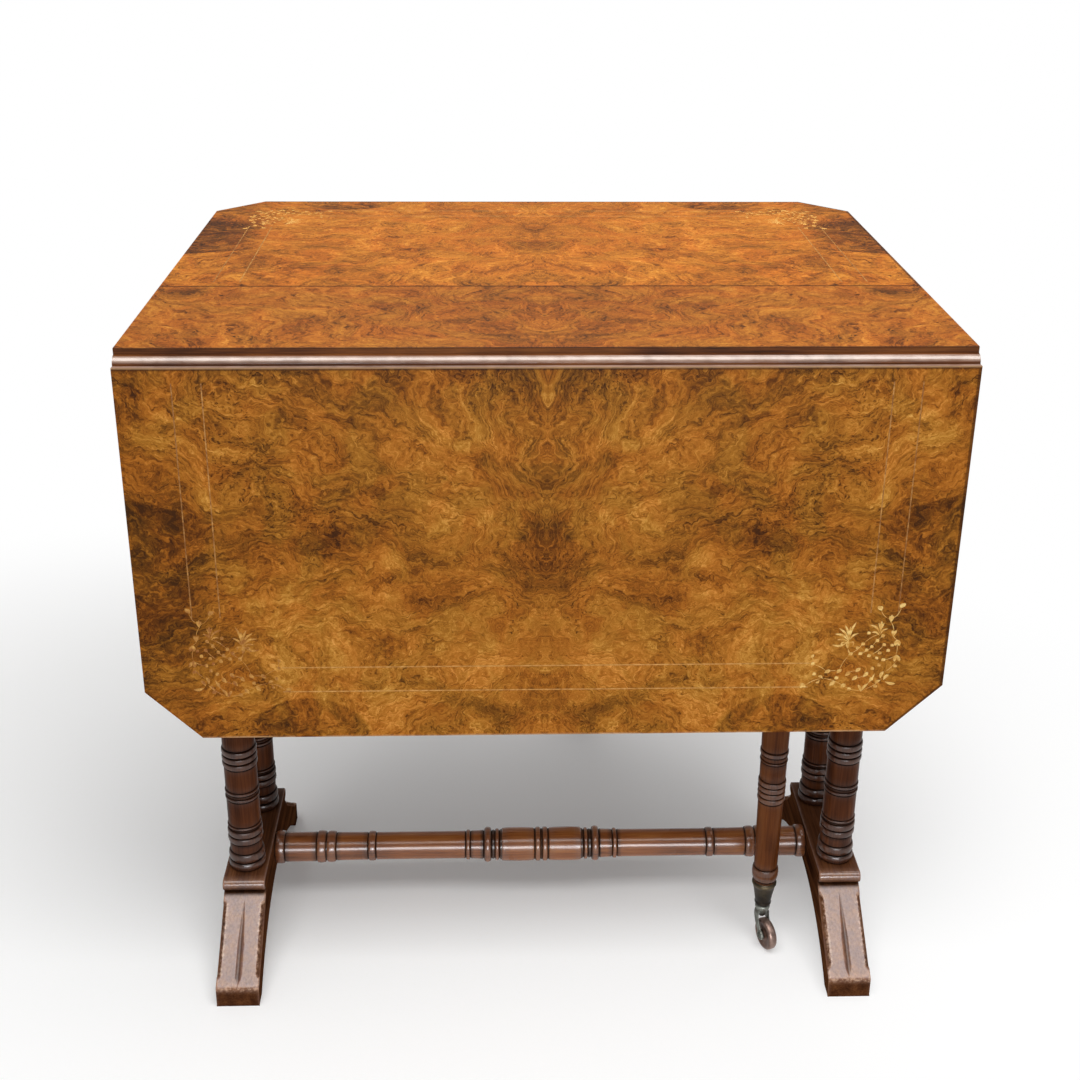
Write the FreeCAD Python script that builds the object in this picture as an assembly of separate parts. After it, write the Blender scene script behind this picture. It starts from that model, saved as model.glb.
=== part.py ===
import FreeCAD, Part
import math
import os

# Sutherland table: a narrow fixed top on two trestle ends, a deep drop leaf on each long side and a gate leg that
# swings out under each leaf. It stands with the front leaf hanging and the rear leaf raised on its gate.
# X runs along the top, Y from the hanging leaf to the raised leaf, Z up. The pieces are drawn with the origin on the
# floor under the middle of the fixed top, and at the end are moved together so that it is the middle of the whole
# table's footprint. All sizes are millimetres.

# Top and leaves
TABLE_HEIGHT = 738.0
TOP_LENGTH = 830.0
FIXED_WIDTH = 211.0
LEAF_DEPTH = 410.0
CORNER_CANT = 55.6
VENEER = 0.8

# Rule joint: a step, then a round about the hinge pin that the leaf's hollow edge turns on
JOINT_STEP = 6.5
JOINT_RADIUS = 8.0
PIN_DEPTH = 3.5
JOINT_GAP = 0.6
COVE_CLEARANCE = 0.4

# Boxwood stringing let into the leaves: two lines along each outer edge
STRING_WIDTH = 1.2
STRING_SUNK = 0.5
STRING_EDGE = 55.0
STRING_SPACING = 28.5
STRING_STOP = 142.0
STRING_JOINT_END = 16.0

# Back-flap hinges, two to a leaf
HINGE_FROM_END = 135.0
HINGE_WIDTH = 60.0
HINGE_PLATE = 2.0
HINGE_TOP_FLAP = 30.0
HINGE_LEAF_FLAP = 44.0
HINGE_TONGUE = 24.0
HINGE_PIN_RADIUS = 1.3
HINGE_FIT = 0.3
KNUCKLE_CLEARANCE = 0.5
PIN_FIT = 0.1

# Countersunk wood screws
SCREW_RADIUS = 1.7
SCREW_HEAD_RADIUS = 3.4
SCREW_FIT = 0.1
HINGE_SCREW_LENGTH = 11.0
HINGE_SCREW_SPACING = 36.0
HINGE_SCREW_BACK = 9.0
BOARD_SCREW_BITE = 10.0
BEARER_SCREW_SPACING = 44.0
BLOCK_SCREW_SPACING = 34.0

# Trestle ends
FOOT_INSET = 78.4
FOOT_WIDTH = 46.8
PLATFORM_HEIGHT = 104.2
PLATFORM_MARGIN = 36.0
NOSING_RADIUS = 7.0
NOSING_QUIRK = 3.0
TOE_REACH = 77.0
TOE_END_HEIGHT = 23.0
TOE_SOLE = 17.0
ARCH_RISE = 58.0
FLUTE_RADIUS = 4.0
FLUTE_DEPTH = 1.6
FLUTE_TOP_MARGIN = 15.0
FLUTE_END_MARGIN = 9.0
TOE_CHAMFER = 4.5
TOE_CHAMFER_STOP = 9.0
TOE_CHAMFER_RUNOUT = 7.0

# Turned posts, two to a trestle end. A ring is its height above the post's end, its width and its rise.
POST_RADIUS = 18.0
POST_SPIGOT_RADIUS = 9.0
POST_SPIGOT = 22.0
POST_BEADS = ((0.0, 10.0, 2.6), (11.0, 11.0, 1.9))
POST_FOOT_RIDGES = ((35.0, 8.0, 1.4), (44.0, 8.0, 1.4), (55.0, 3.0, 0.9), (92.0, 4.0, 0.9), (100.0, 4.0, 0.9))
POST_COLLAR_RIDGES = ((134.0, 7.0, 1.3), (142.0, 7.0, 1.3), (150.0, 8.0, 1.3))
GLUE_GAP = 0.15

# Bearers under the top, rails between them
BEARER_SETBACK = 14.2
BEARER_MARGIN = 33.0
BEARER_HEIGHT = 36.0
BEARER_END_HEIGHT = 16.0
BEARER_END_CURVE = 11.0
RAIL_THICKNESS = 20.0
TENON_LENGTH = 11.0
TENON_THICKNESS = 8.0
TENON_SHOULDER = 5.0

# Turned stretcher between the feet. A turning is its start and end, measured from the foot or from the middle, its
# base radius and its rise. Rings are ridged, and the barrels on both sides of the middle are rounded.
STRETCHER_HEIGHT = 82.3
STRETCHER_RADIUS = 15.7
STRETCHER_SPIGOT_RADIUS = 8.0
STRETCHER_SPIGOT = 18.0
STRETCHER_END_TURNINGS = (
    (0.0, 11.0, 17.4, 1.8),
    (12.0, 48.0, 17.0, 0.0),
    (49.0, 60.0, 16.4, 1.8),
    (60.5, 71.5, 16.4, 1.6),
    (109.0, 118.0, 15.8, 1.4),
)
STRETCHER_BARREL = (8.0, 47.0, 18.6, 1.0)
STRETCHER_MIDDLE_TURNINGS = (
    (1.0, 7.0, 18.4, 1.4),
    STRETCHER_BARREL,
    (50.0, 54.5, 16.6, 1.6),
    (59.0, 68.0, 16.5, 3.6),
    (69.0, 80.0, 16.4, 0.0),
    (84.0, 89.0, 15.8, 1.4),
)

# Gates: an arm under the leaf on a wooden finger knuckle, with a turned leg at its end
GATE_ARM = 320.0
GATE_LEG_FROM_FOOT = 59.6
GATE_ROOM = 12.5
GATE_RAIL_GAP = 1.0
GATE_TOP_GAP = 0.3
ARM_THICKNESS = 24.0
KNUCKLE_FINGERS = 5
FINGER_GAP = 0.3
KNUCKLE_SHOULDER = 1.0
BLOCK_LENGTH = 60.0
GATE_PIN_RADIUS = 3.0
GATE_SWING_OUT = 90.0

# Gate leg: a square head on a turned shaft. A ring is its height above the collar, its width and its rise.
LEG_HEAD = 31.0
LEG_HEAD_HEIGHT = 48.0
LEG_RADIUS = 14.6
LEG_COLLAR_HEIGHT = 20.0
LEG_COLLAR_RISE = 2.0
LEG_FOOT_RINGS = ((90.0, 6.5, 1.0), (97.0, 6.5, 1.0), (104.0, 6.5, 1.0), (111.0, 6.5, 1.0), (151.0, 6.0, 0.9))
LEG_HEAD_RINGS = ((24.0, 6.5, 1.0), (31.0, 6.5, 1.0), (38.0, 6.5, 1.0))

# Brass casters
WHEEL_RADIUS = 18.0
WHEEL_WIDTH = 10.0
WHEEL_CROWN = 1.2
WHEEL_SIDE_GAP = 0.8
AXLE_RADIUS = 2.0
AXLE_FIT = 0.15
CASTER_TRAIL = 12.0
FORK_CHEEK = 2.2
FORK_BOSS_RADIUS = 5.5
FORK_CROWN = 3.0
FORK_CROWN_FRONT = 9.0
FORK_CROWN_BACK = 6.0
SWIVEL_GAP = 0.5
SWIVEL_STEM_RADIUS = 3.0
SWIVEL_STEM = 10.0
CUP_BOTTOM_HEIGHT = 53.0
CUP_HEIGHT = 33.0
CUP_BOTTOM_RADIUS = 9.5
CUP_TOP_RADIUS = 13.2
CUP_WALL = 1.5
CUP_FLOOR = 4.0
FRONT_CASTER_YAW = 20.0
REAR_CASTER_YAW = 205.0

# Places worked out from the sizes above
TOP_THICKNESS = JOINT_STEP + JOINT_RADIUS + PIN_DEPTH
UNDERSIDE = TABLE_HEIGHT - TOP_THICKNESS
PIN_Y = FIXED_WIDTH / 2
PIN_Z = UNDERSIDE + PIN_DEPTH
HALF_LENGTH = TOP_LENGTH / 2
HINGE_X = HALF_LENGTH - HINGE_FROM_END
HINGE_KNUCKLE = PIN_DEPTH - KNUCKLE_CLEARANCE
HANGING_FACE_Y = PIN_Y - PIN_DEPTH
LEAF_TOP = JOINT_RADIUS + JOINT_STEP
BEARER_HALF = HANGING_FACE_Y - BEARER_SETBACK
BEARER_BOTTOM = UNDERSIDE - BEARER_HEIGHT
POST_Y = BEARER_HALF - BEARER_MARGIN
POST_LENGTH = BEARER_BOTTOM - PLATFORM_HEIGHT
FOOT_X = HALF_LENGTH - FOOT_INSET
FOOT_INNER_X = FOOT_X - FOOT_WIDTH / 2
PLATFORM_HALF = POST_Y + PLATFORM_MARGIN
TOE_HALF = PLATFORM_HALF + TOE_REACH
FOOTPRINT_FRONT = -max(TOE_HALF, PIN_Y + LEAF_TOP)
FOOTPRINT_MIDDLE = (FOOTPRINT_FRONT + PIN_Y + LEAF_DEPTH) / 2
GATE_Y = HANGING_FACE_Y - GATE_ROOM - LEG_HEAD / 2
RAIL_OUTER_Y = GATE_Y - LEG_HEAD / 2 - GATE_RAIL_GAP
GATE_LEG_X = FOOT_INNER_X - GATE_LEG_FROM_FOOT
GATE_PIVOT_X = GATE_LEG_X - GATE_ARM
ARM_TOP = UNDERSIDE - GATE_TOP_GAP
KNUCKLE_RADIUS = ARM_THICKNESS / 2
SHOULDER = KNUCKLE_RADIUS + KNUCKLE_SHOULDER
CUP_TOP = CUP_BOTTOM_HEIGHT + CUP_HEIGHT
LEG_HEAD_BOTTOM = ARM_TOP - LEG_HEAD_HEIGHT
CHEEK_INNER_X = WHEEL_WIDTH / 2 + WHEEL_SIDE_GAP
CHEEK_OUTER_X = CHEEK_INNER_X + FORK_CHEEK
CROWN_TOP = CUP_BOTTOM_HEIGHT - SWIVEL_GAP
CROWN_BOTTOM = CROWN_TOP - FORK_CROWN

vec = FreeCAD.Vector
X_AXIS = vec(1, 0, 0)
Y_AXIS = vec(0, 1, 0)
Z_AXIS = vec(0, 0, 1)

# A leaf and its hinges are drawn about the hinge pin: X along the pin, Y out over the leaf, Z up when it is level.
REAR_LEVEL = FreeCAD.Placement(vec(0, PIN_Y, PIN_Z), FreeCAD.Rotation())
FRONT_LEVEL = FreeCAD.Placement(vec(0, -PIN_Y, PIN_Z), FreeCAD.Rotation(Z_AXIS, 180))
FRONT_HANGING = FRONT_LEVEL.multiply(FreeCAD.Placement(vec(), FreeCAD.Rotation(X_AXIS, -90)))

# A gate is drawn closed on the front rail. The rear gate is the same, turned half round and swung out.
FRONT_GATE = FreeCAD.Placement()
REAR_GATE_CLOSED = FreeCAD.Placement(vec(), FreeCAD.Rotation(Z_AXIS, 180))
REAR_GATE_OUT = FreeCAD.Placement(
    vec(), FreeCAD.Rotation(Z_AXIS, -GATE_SWING_OUT), vec(-GATE_PIVOT_X, GATE_Y, 0)
).multiply(REAR_GATE_CLOSED)


def box(x0, x1, y0, y1, z0, z1):
    return Part.makeBox(x1 - x0, y1 - y0, z1 - z0, vec(x0, y0, z0))


def rod(radius, start, end):
    """Cylinder from one axis point to another."""
    along = end - start
    return Part.makeCylinder(radius, along.Length, start, along)


def placed(shape, placement):
    moved = shape.copy()
    moved.Placement = placement.multiply(moved.Placement)
    return moved


def outline(start, steps, to_space):
    """Wire through plane points. A step is (end) for a line, or (middle, end) for an arc."""
    edges = []
    here = to_space(*start)
    for step in steps:
        there = to_space(*step[-1])
        if len(step) == 2:
            edges.append(Part.Arc(here, to_space(*step[0]), there).toShape())
        else:
            edges.append(Part.makeLine(here, there))
        here = there
    return Part.Wire(edges)


def extruded_along_x(start, steps, x0, x1):
    """Solid whose (y, z) outline runs from x0 to x1."""
    wire = outline(start, steps, lambda y, z: vec(x0, y, z))
    return Part.Face(wire).extrude(vec(x1 - x0, 0, 0))


def turned(profile):
    """Solid turned about Z. The profile is (z, radius) steps as in outline, from axis to axis."""
    wire = outline(profile[0], profile[1:] + [[profile[0]]], lambda z, r: vec(r, 0, z))
    return Part.Face(wire).revolve(vec(), Z_AXIS, 360)


def ring_steps(start, width, radius, rise, is_round):
    """Steps along a turning for one ring: a round bead, or a sharp ridge."""
    crest = (start + width / 2, radius + rise)
    end = (start + width, radius)
    if is_round:
        return [[(start, radius)], [crest, end]]
    return [[(start, radius)], [crest], [end]]


def countersunk(radius, head_radius, length):
    """Screw along Z with its head face at Z = 0."""
    cone = head_radius - radius
    return turned([(0, 0), [(0, head_radius)], [(cone, radius)], [(length, radius)], [(length, 0)]])


def screw(length):
    return countersunk(SCREW_RADIUS, SCREW_HEAD_RADIUS, length)


def screw_hole(length):
    return countersunk(SCREW_RADIUS + SCREW_FIT, SCREW_HEAD_RADIUS + SCREW_FIT, length + SCREW_FIT)


def upright(x, y, z):
    """Place of a screw that is driven upward."""
    return FreeCAD.Placement(vec(x, y, z), FreeCAD.Rotation())


# Fixed top
def hinge_places():
    """Pin-frame X of each hinge with the name of its end, for the rear side."""
    return (("left", -HINGE_X), ("right", HINGE_X))


def hinge_screw_points(flap_end):
    """Two screws across a hinge flap, set back from the flap's end."""
    back = flap_end - math.copysign(HINGE_SCREW_BACK, flap_end)
    return ((-HINGE_SCREW_SPACING / 2, back), (HINGE_SCREW_SPACING / 2, back))


def hinge_screws(flap_end, make):
    """Screws, or their holes, of both hinges of one leaf through one flap, in the pin frame."""
    found = []
    for _, hinge_x in hinge_places():
        for x, y in hinge_screw_points(flap_end):
            found.append(placed(make(HINGE_SCREW_LENGTH), upright(hinge_x + x, y, -PIN_DEPTH)))
    return found


def hinge_recesses_in_top():
    """What is cut from the fixed top for one leaf's hinges, in the pin frame."""
    cuts = []
    half = HINGE_WIDTH / 2 + HINGE_FIT
    room = PIN_DEPTH + KNUCKLE_CLEARANCE + HINGE_FIT
    plate_top = HINGE_PLATE - PIN_DEPTH
    tongue = HINGE_TONGUE / 2 + HINGE_FIT
    reach = JOINT_RADIUS + COVE_CLEARANCE
    for _, x in hinge_places():
        cuts.append(box(x - half, x + half, -HINGE_TOP_FLAP - HINGE_FIT, 0, -PIN_DEPTH, plate_top))
        cuts.append(box(x - half, x + half, -room, room, -PIN_DEPTH, HINGE_KNUCKLE + HINGE_FIT))
        cuts.append(box(x - tongue, x + tongue, 0, reach, -PIN_DEPTH, plate_top + KNUCKLE_CLEARANCE))
    return cuts


def top_board():
    """Board with the step and round of the rule joint along both long edges, hinges let in below."""
    step_z = PIN_Z + JOINT_RADIUS
    board_top = TABLE_HEIGHT - VENEER
    low_angle = -math.asin(PIN_DEPTH / JOINT_RADIUS)
    mid_angle = (math.pi / 2 + low_angle) / 2
    round_mid = (PIN_Y + JOINT_RADIUS * math.cos(mid_angle), PIN_Z + JOINT_RADIUS * math.sin(mid_angle))
    round_low = (PIN_Y + JOINT_RADIUS * math.cos(low_angle), UNDERSIDE)
    steps = [
        [(PIN_Y, board_top)],
        [(PIN_Y, step_z)],
        [round_mid, round_low],
        [(-round_low[0], UNDERSIDE)],
        [(-round_mid[0], round_mid[1]), (-PIN_Y, step_z)],
        [(-PIN_Y, board_top)],
    ]
    board = extruded_along_x((-PIN_Y, board_top), steps, -HALF_LENGTH, HALF_LENGTH)
    cuts = [placed(hole, place) for hole, place in bearer_screw_places(screw_hole)]
    for level in (FRONT_LEVEL, REAR_LEVEL):
        for cut in hinge_recesses_in_top() + hinge_screws(-HINGE_TOP_FLAP, screw_hole):
            cuts.append(placed(cut, level))
    return board.cut(cuts)


def top_veneer():
    return box(-HALF_LENGTH, HALF_LENGTH, -PIN_Y, PIN_Y, TABLE_HEIGHT - VENEER, TABLE_HEIGHT)


# Leaves, drawn in the pin frame
def leaf_plan(z0, z1, inner_y):
    """Leaf outline with its two canted corners, from one height to another."""
    cant_y = LEAF_DEPTH - CORNER_CANT
    cant_x = HALF_LENGTH - CORNER_CANT
    steps = [
        [(HALF_LENGTH, inner_y)],
        [(HALF_LENGTH, cant_y)],
        [(cant_x, LEAF_DEPTH)],
        [(-cant_x, LEAF_DEPTH)],
        [(-HALF_LENGTH, cant_y)],
        [(-HALF_LENGTH, inner_y)],
    ]
    wire = outline((-HALF_LENGTH, inner_y), steps, lambda x, y: vec(x, y, z0))
    return Part.Face(wire).extrude(vec(0, 0, z1 - z0))


def leaf_board():
    """Board with the hollow of the rule joint along its inner edge and the hinge flaps let in below."""
    cove = JOINT_RADIUS + COVE_CLEARANCE
    board = leaf_plan(-PIN_DEPTH, LEAF_TOP - VENEER, JOINT_GAP)
    hollow = rod(cove, vec(-TOP_LENGTH, 0, 0), vec(TOP_LENGTH, 0, 0))
    below_hollow = box(-TOP_LENGTH, TOP_LENGTH, 0, cove, -TOP_THICKNESS, 0)
    cuts = [hollow, below_hollow]
    half = HINGE_WIDTH / 2 + HINGE_FIT
    for _, x in hinge_places():
        flap = HINGE_LEAF_FLAP + HINGE_FIT
        cuts.append(box(x - half, x + half, 0, flap, -PIN_DEPTH, HINGE_PLATE - PIN_DEPTH))
    return board.cut(cuts + hinge_screws(HINGE_LEAF_FLAP, screw_hole))


def stringing_lines():
    """Boxwood lines of one leaf: two along the free edge and two along each end, stopped short of the corners."""
    lines = []
    low = LEAF_TOP - STRING_SUNK
    half = STRING_WIDTH / 2
    for inset in (STRING_EDGE, STRING_EDGE + STRING_SPACING):
        stop_x = HALF_LENGTH - STRING_STOP
        edge_y = LEAF_DEPTH - inset
        lines.append(box(-stop_x, stop_x, edge_y - half, edge_y + half, low, LEAF_TOP))
        stop_y = LEAF_DEPTH - STRING_STOP
        for end_x in (inset - HALF_LENGTH, HALF_LENGTH - inset):
            lines.append(box(end_x - half, end_x + half, STRING_JOINT_END, stop_y, low, LEAF_TOP))
    return lines


def leaf_veneer():
    return leaf_plan(LEAF_TOP - VENEER, LEAF_TOP, JOINT_GAP).cut(stringing_lines())


# Hinges, drawn in the pin frame at X = 0
def hinge_bore():
    return rod(HINGE_PIN_RADIUS + PIN_FIT, vec(-HINGE_WIDTH, 0, 0), vec(HINGE_WIDTH, 0, 0))


def hinge_top_plate():
    """Flap let into the fixed top, with the two outer knuckles."""
    half = HINGE_WIDTH / 2
    plate_top = HINGE_PLATE - PIN_DEPTH
    flap = box(-half, half, -HINGE_TOP_FLAP, 0, -PIN_DEPTH, plate_top)
    barrel = rod(HINGE_KNUCKLE, vec(-half, 0, 0), vec(half, 0, 0))
    gap = HINGE_TONGUE / 2 + KNUCKLE_CLEARANCE
    back = PIN_DEPTH + KNUCKLE_CLEARANCE
    notch = box(-gap, gap, -back, back, -back, back)
    return flap.fuse(barrel).cut([notch, hinge_bore()])


def hinge_leaf_plate():
    """Flap let into the leaf, with a tongue under the rule joint to the middle knuckle."""
    half = HINGE_WIDTH / 2
    tongue_half = HINGE_TONGUE / 2
    plate_top = HINGE_PLATE - PIN_DEPTH
    inner = JOINT_RADIUS + COVE_CLEARANCE + KNUCKLE_CLEARANCE
    flap = box(-half, half, inner, HINGE_LEAF_FLAP, -PIN_DEPTH, plate_top)
    tongue = box(-tongue_half, tongue_half, 0, inner, -PIN_DEPTH, plate_top)
    barrel = rod(HINGE_KNUCKLE, vec(-tongue_half, 0, 0), vec(tongue_half, 0, 0))
    return flap.fuse([tongue, barrel]).cut(hinge_bore()).removeSplitter()


def hinge_pin():
    half = HINGE_WIDTH / 2
    return rod(HINGE_PIN_RADIUS, vec(-half, 0, 0), vec(half, 0, 0))


def screwed_plate(plate, flap_end):
    holes = []
    for x, y in hinge_screw_points(flap_end):
        holes.append(placed(screw_hole(HINGE_SCREW_LENGTH), upright(x, y, -PIN_DEPTH)))
    return plate.cut(holes)


# Trestle ends
def foot():
    """Platform with rolled nosings, sloping fluted toes and an arch below, drawn at X = 0."""
    roll_y = PLATFORM_HALF - NOSING_RADIUS
    roll_z = PLATFORM_HEIGHT - NOSING_RADIUS
    quirk_z = PLATFORM_HEIGHT - 2 * NOSING_RADIUS
    toe_top = (roll_y, quirk_z - NOSING_QUIRK)
    toe_end = (TOE_HALF, TOE_END_HEIGHT)
    sole_y = TOE_HALF - TOE_SOLE
    steps = [
        [(roll_y, PLATFORM_HEIGHT)],
        [(PLATFORM_HALF, roll_z), (roll_y, quirk_z)],
        [toe_top],
        [toe_end],
        [(TOE_HALF, 0)],
        [(sole_y, 0)],
        [(0, ARCH_RISE), (-sole_y, 0)],
        [(-TOE_HALF, 0)],
        [(-toe_end[0], toe_end[1])],
        [(-toe_top[0], toe_top[1])],
        [(-roll_y, quirk_z)],
        [(-PLATFORM_HALF, roll_z), (-roll_y, PLATFORM_HEIGHT)],
    ]
    half = FOOT_WIDTH / 2
    block = extruded_along_x((-roll_y, PLATFORM_HEIGHT), steps, -half, half)
    cuts = []
    for side in (-1, 1):
        socket = POST_SPIGOT_RADIUS + GLUE_GAP
        bottom = PLATFORM_HEIGHT - POST_SPIGOT - GLUE_GAP
        cuts.append(rod(socket, vec(0, side * POST_Y, bottom), vec(0, side * POST_Y, PLATFORM_HEIGHT)))
        cuts.append(toe_flute(toe_top, toe_end, side))
        cuts += [toe_chamfer(toe_top, toe_end, side, edge) for edge in (-1, 1)]
    return block.cut(cuts)


def toe_slope(toe_top, toe_end, side):
    """Top and end of a toe's slope in its middle plane, the way down it and the way out of it."""
    top = vec(0, side * toe_top[0], toe_top[1])
    end = vec(0, side * toe_end[0], toe_end[1])
    along = (end - top).normalize()
    return top, end, along, vec(0, -side * along.z, side * along.y)


def toe_flute(toe_top, toe_end, side):
    """Round groove with gouged ends down the middle of a toe's slope."""
    top, end, along, out = toe_slope(toe_top, toe_end, side)
    lift = out * (FLUTE_RADIUS - FLUTE_DEPTH)
    start = top + along * FLUTE_TOP_MARGIN + lift
    stop = end - along * FLUTE_END_MARGIN + lift
    ends = [Part.makeSphere(FLUTE_RADIUS, point) for point in (start, stop)]
    return rod(FLUTE_RADIUS, start, stop).fuse(ends)


def toe_chamfer(toe_top, toe_end, side, edge):
    """Stopped chamfer along one long edge of a toe, running out to nothing at both ends."""
    top, end, along, out = toe_slope(toe_top, toe_end, side)
    corner = X_AXIS * (edge * FOOT_WIDTH / 2)
    inward = X_AXIS * (-edge * TOE_CHAMFER)
    down = out * -TOE_CHAMFER
    first = top + corner + along * TOE_CHAMFER_STOP
    last = end + corner - along * TOE_CHAMFER_STOP
    runout = along * TOE_CHAMFER_RUNOUT
    full_first = first + runout
    full_last = last - runout
    slope_face = [first, last, full_last + inward, full_first + inward]
    side_face = [first, last, full_last + down, full_first + down]
    cut_face = [full_first + inward, full_last + inward, full_last + down, full_first + down]
    first_stop = [first, full_first + inward, full_first + down]
    last_stop = [last, full_last + inward, full_last + down]
    faces = []
    for points in (slope_face, side_face, cut_face, first_stop, last_stop):
        faces.append(Part.Face(Part.makePolygon(points + points[:1])))
    return Part.Solid(Part.Shell(faces))


def left_foot():
    half = FOOT_WIDTH / 2
    mortise = rod(
        STRETCHER_SPIGOT_RADIUS + GLUE_GAP,
        vec(half - STRETCHER_SPIGOT - GLUE_GAP, 0, STRETCHER_HEIGHT),
        vec(half, 0, STRETCHER_HEIGHT),
    )
    return placed(foot().cut(mortise), FreeCAD.Placement(vec(-FOOT_X, 0, 0), FreeCAD.Rotation()))


def post():
    """Turned post with a spigot at each end, standing on Z = 0."""
    top = POST_LENGTH
    profile = [(-POST_SPIGOT, 0), [(-POST_SPIGOT, POST_SPIGOT_RADIUS)], [(0, POST_SPIGOT_RADIUS)]]
    for start, width, rise in POST_BEADS:
        profile += ring_steps(start, width, POST_RADIUS, rise, True)
    for start, width, rise in POST_FOOT_RIDGES + POST_COLLAR_RIDGES:
        profile += ring_steps(start, width, POST_RADIUS, rise, False)
    for start, width, rise in reversed(POST_COLLAR_RIDGES):
        profile += ring_steps(top - start - width, width, POST_RADIUS, rise, False)
    start, width, rise = POST_BEADS[0]
    profile += ring_steps(top - start - width, width, POST_RADIUS, rise, True)
    profile += [[(top, POST_SPIGOT_RADIUS)], [(top + POST_SPIGOT, POST_SPIGOT_RADIUS)], [(top + POST_SPIGOT, 0)]]
    return turned(profile)


def stretcher():
    """Turned stretcher with a barrel in the middle, lying along X between the feet."""
    half = FOOT_INNER_X
    reach = half + STRETCHER_SPIGOT
    turnings = []
    for start, end, radius, rise in STRETCHER_END_TURNINGS:
        turnings.append((start - half, end - half, radius, rise, False))
    for turning in reversed(STRETCHER_MIDDLE_TURNINGS):
        start, end, radius, rise = turning
        turnings.append((-end, -start, radius, rise, turning == STRETCHER_BARREL))
    for start, end, radius, rise, is_round in reversed(turnings[:]):
        turnings.append((-end, -start, radius, rise, is_round))
    profile = [(-reach, 0), [(-reach, STRETCHER_SPIGOT_RADIUS)], [(-half, STRETCHER_SPIGOT_RADIUS)]]
    last_end = -half
    for start, end, radius, rise, is_round in turnings:
        if start > last_end:
            profile += [[(last_end, STRETCHER_RADIUS)], [(start, STRETCHER_RADIUS)]]
        if rise > 0:
            profile += ring_steps(start, end - start, radius, rise, is_round)
        else:
            profile += [[(start, radius)], [(end, radius)]]
        last_end = end
    profile += [[(half, STRETCHER_SPIGOT_RADIUS)], [(reach, STRETCHER_SPIGOT_RADIUS)], [(reach, 0)]]
    lying = FreeCAD.Placement(vec(0, 0, STRETCHER_HEIGHT), FreeCAD.Rotation(Y_AXIS, 90))
    return placed(turned(profile), lying)


# Frame under the top
def bearer_screw_places(make):
    """Screws, or their holes, that rise through the bearers into the top board, with their places."""
    found = []
    for x in (-FOOT_X, FOOT_X):
        for y in (-BEARER_SCREW_SPACING / 2, BEARER_SCREW_SPACING / 2):
            found.append((make(BEARER_HEIGHT + BOARD_SCREW_BITE), upright(x, y, BEARER_BOTTOM)))
    return found


def rail_tenon(x0, x1, side, gap):
    """Tenon of a rail, or its mortise with a gap round it."""
    middle = side * (RAIL_OUTER_Y - RAIL_THICKNESS / 2)
    half = TENON_THICKNESS / 2 + gap
    low = BEARER_BOTTOM + TENON_SHOULDER - gap
    return box(x0, x1, middle - half, middle + half, low, UNDERSIDE - TENON_SHOULDER + gap)


def bearer(end):
    """Cross piece on two posts with its ends curved up, at the left (-1) or right (1) end."""
    half = FOOT_WIDTH / 2
    flat = BEARER_HALF - BEARER_END_CURVE
    lip_z = UNDERSIDE - BEARER_END_HEIGHT
    bend = (
        BEARER_HALF - BEARER_END_CURVE * (1 - math.sqrt(0.5)),
        lip_z - (lip_z - BEARER_BOTTOM) * math.sqrt(0.5),
    )
    steps = [
        [(BEARER_HALF, UNDERSIDE)],
        [(BEARER_HALF, lip_z)],
        [bend, (flat, BEARER_BOTTOM)],
        [(-flat, BEARER_BOTTOM)],
        [(-bend[0], bend[1]), (-BEARER_HALF, lip_z)],
        [(-BEARER_HALF, UNDERSIDE)],
    ]
    x = end * FOOT_X
    block = extruded_along_x((-BEARER_HALF, UNDERSIDE), steps, x - half, x + half)
    cuts = [placed(hole, place) for hole, place in bearer_screw_places(screw_hole)]
    inner = end * FOOT_INNER_X
    deep = end * (FOOT_INNER_X + TENON_LENGTH + GLUE_GAP)
    for side in (-1, 1):
        foot_of_socket = vec(x, side * POST_Y, BEARER_BOTTOM)
        top_of_socket = foot_of_socket + Z_AXIS * (POST_SPIGOT + GLUE_GAP)
        cuts.append(rod(POST_SPIGOT_RADIUS + GLUE_GAP, foot_of_socket, top_of_socket))
        cuts.append(rail_tenon(min(inner, deep), max(inner, deep), side, GLUE_GAP))
    return block.cut(cuts)


def rail(side):
    """Long rail between the bearers on the front (-1) or rear (1) side, tenoned at both ends."""
    outer = side * RAIL_OUTER_Y
    inner = side * (RAIL_OUTER_Y - RAIL_THICKNESS)
    body = box(-FOOT_INNER_X, FOOT_INNER_X, min(outer, inner), max(outer, inner), BEARER_BOTTOM, UNDERSIDE)
    reach = FOOT_INNER_X + TENON_LENGTH
    left = rail_tenon(-reach, -FOOT_INNER_X, side, 0)
    right = rail_tenon(FOOT_INNER_X, reach, side, 0)
    holes = [placed(hole, rail_side_place(side).multiply(place)) for hole, place in block_screw_places(screw_hole)]
    return body.fuse([left, right]).cut(holes)


def rail_side_place(side):
    """The front rail's fittings are drawn in place. The rear rail's are turned half round."""
    return FRONT_GATE if side < 0 else REAR_GATE_CLOSED


# Gates, drawn closed on the front rail
def finger_heights():
    """Bottom and top of each knuckle finger, from the lowest up."""
    pitch = (ARM_TOP - BEARER_BOTTOM) / KNUCKLE_FINGERS
    heights = []
    for n in range(KNUCKLE_FINGERS):
        low = BEARER_BOTTOM + n * pitch
        heights.append((low + FINGER_GAP / 2, low + pitch - FINGER_GAP / 2))
    return heights


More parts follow.
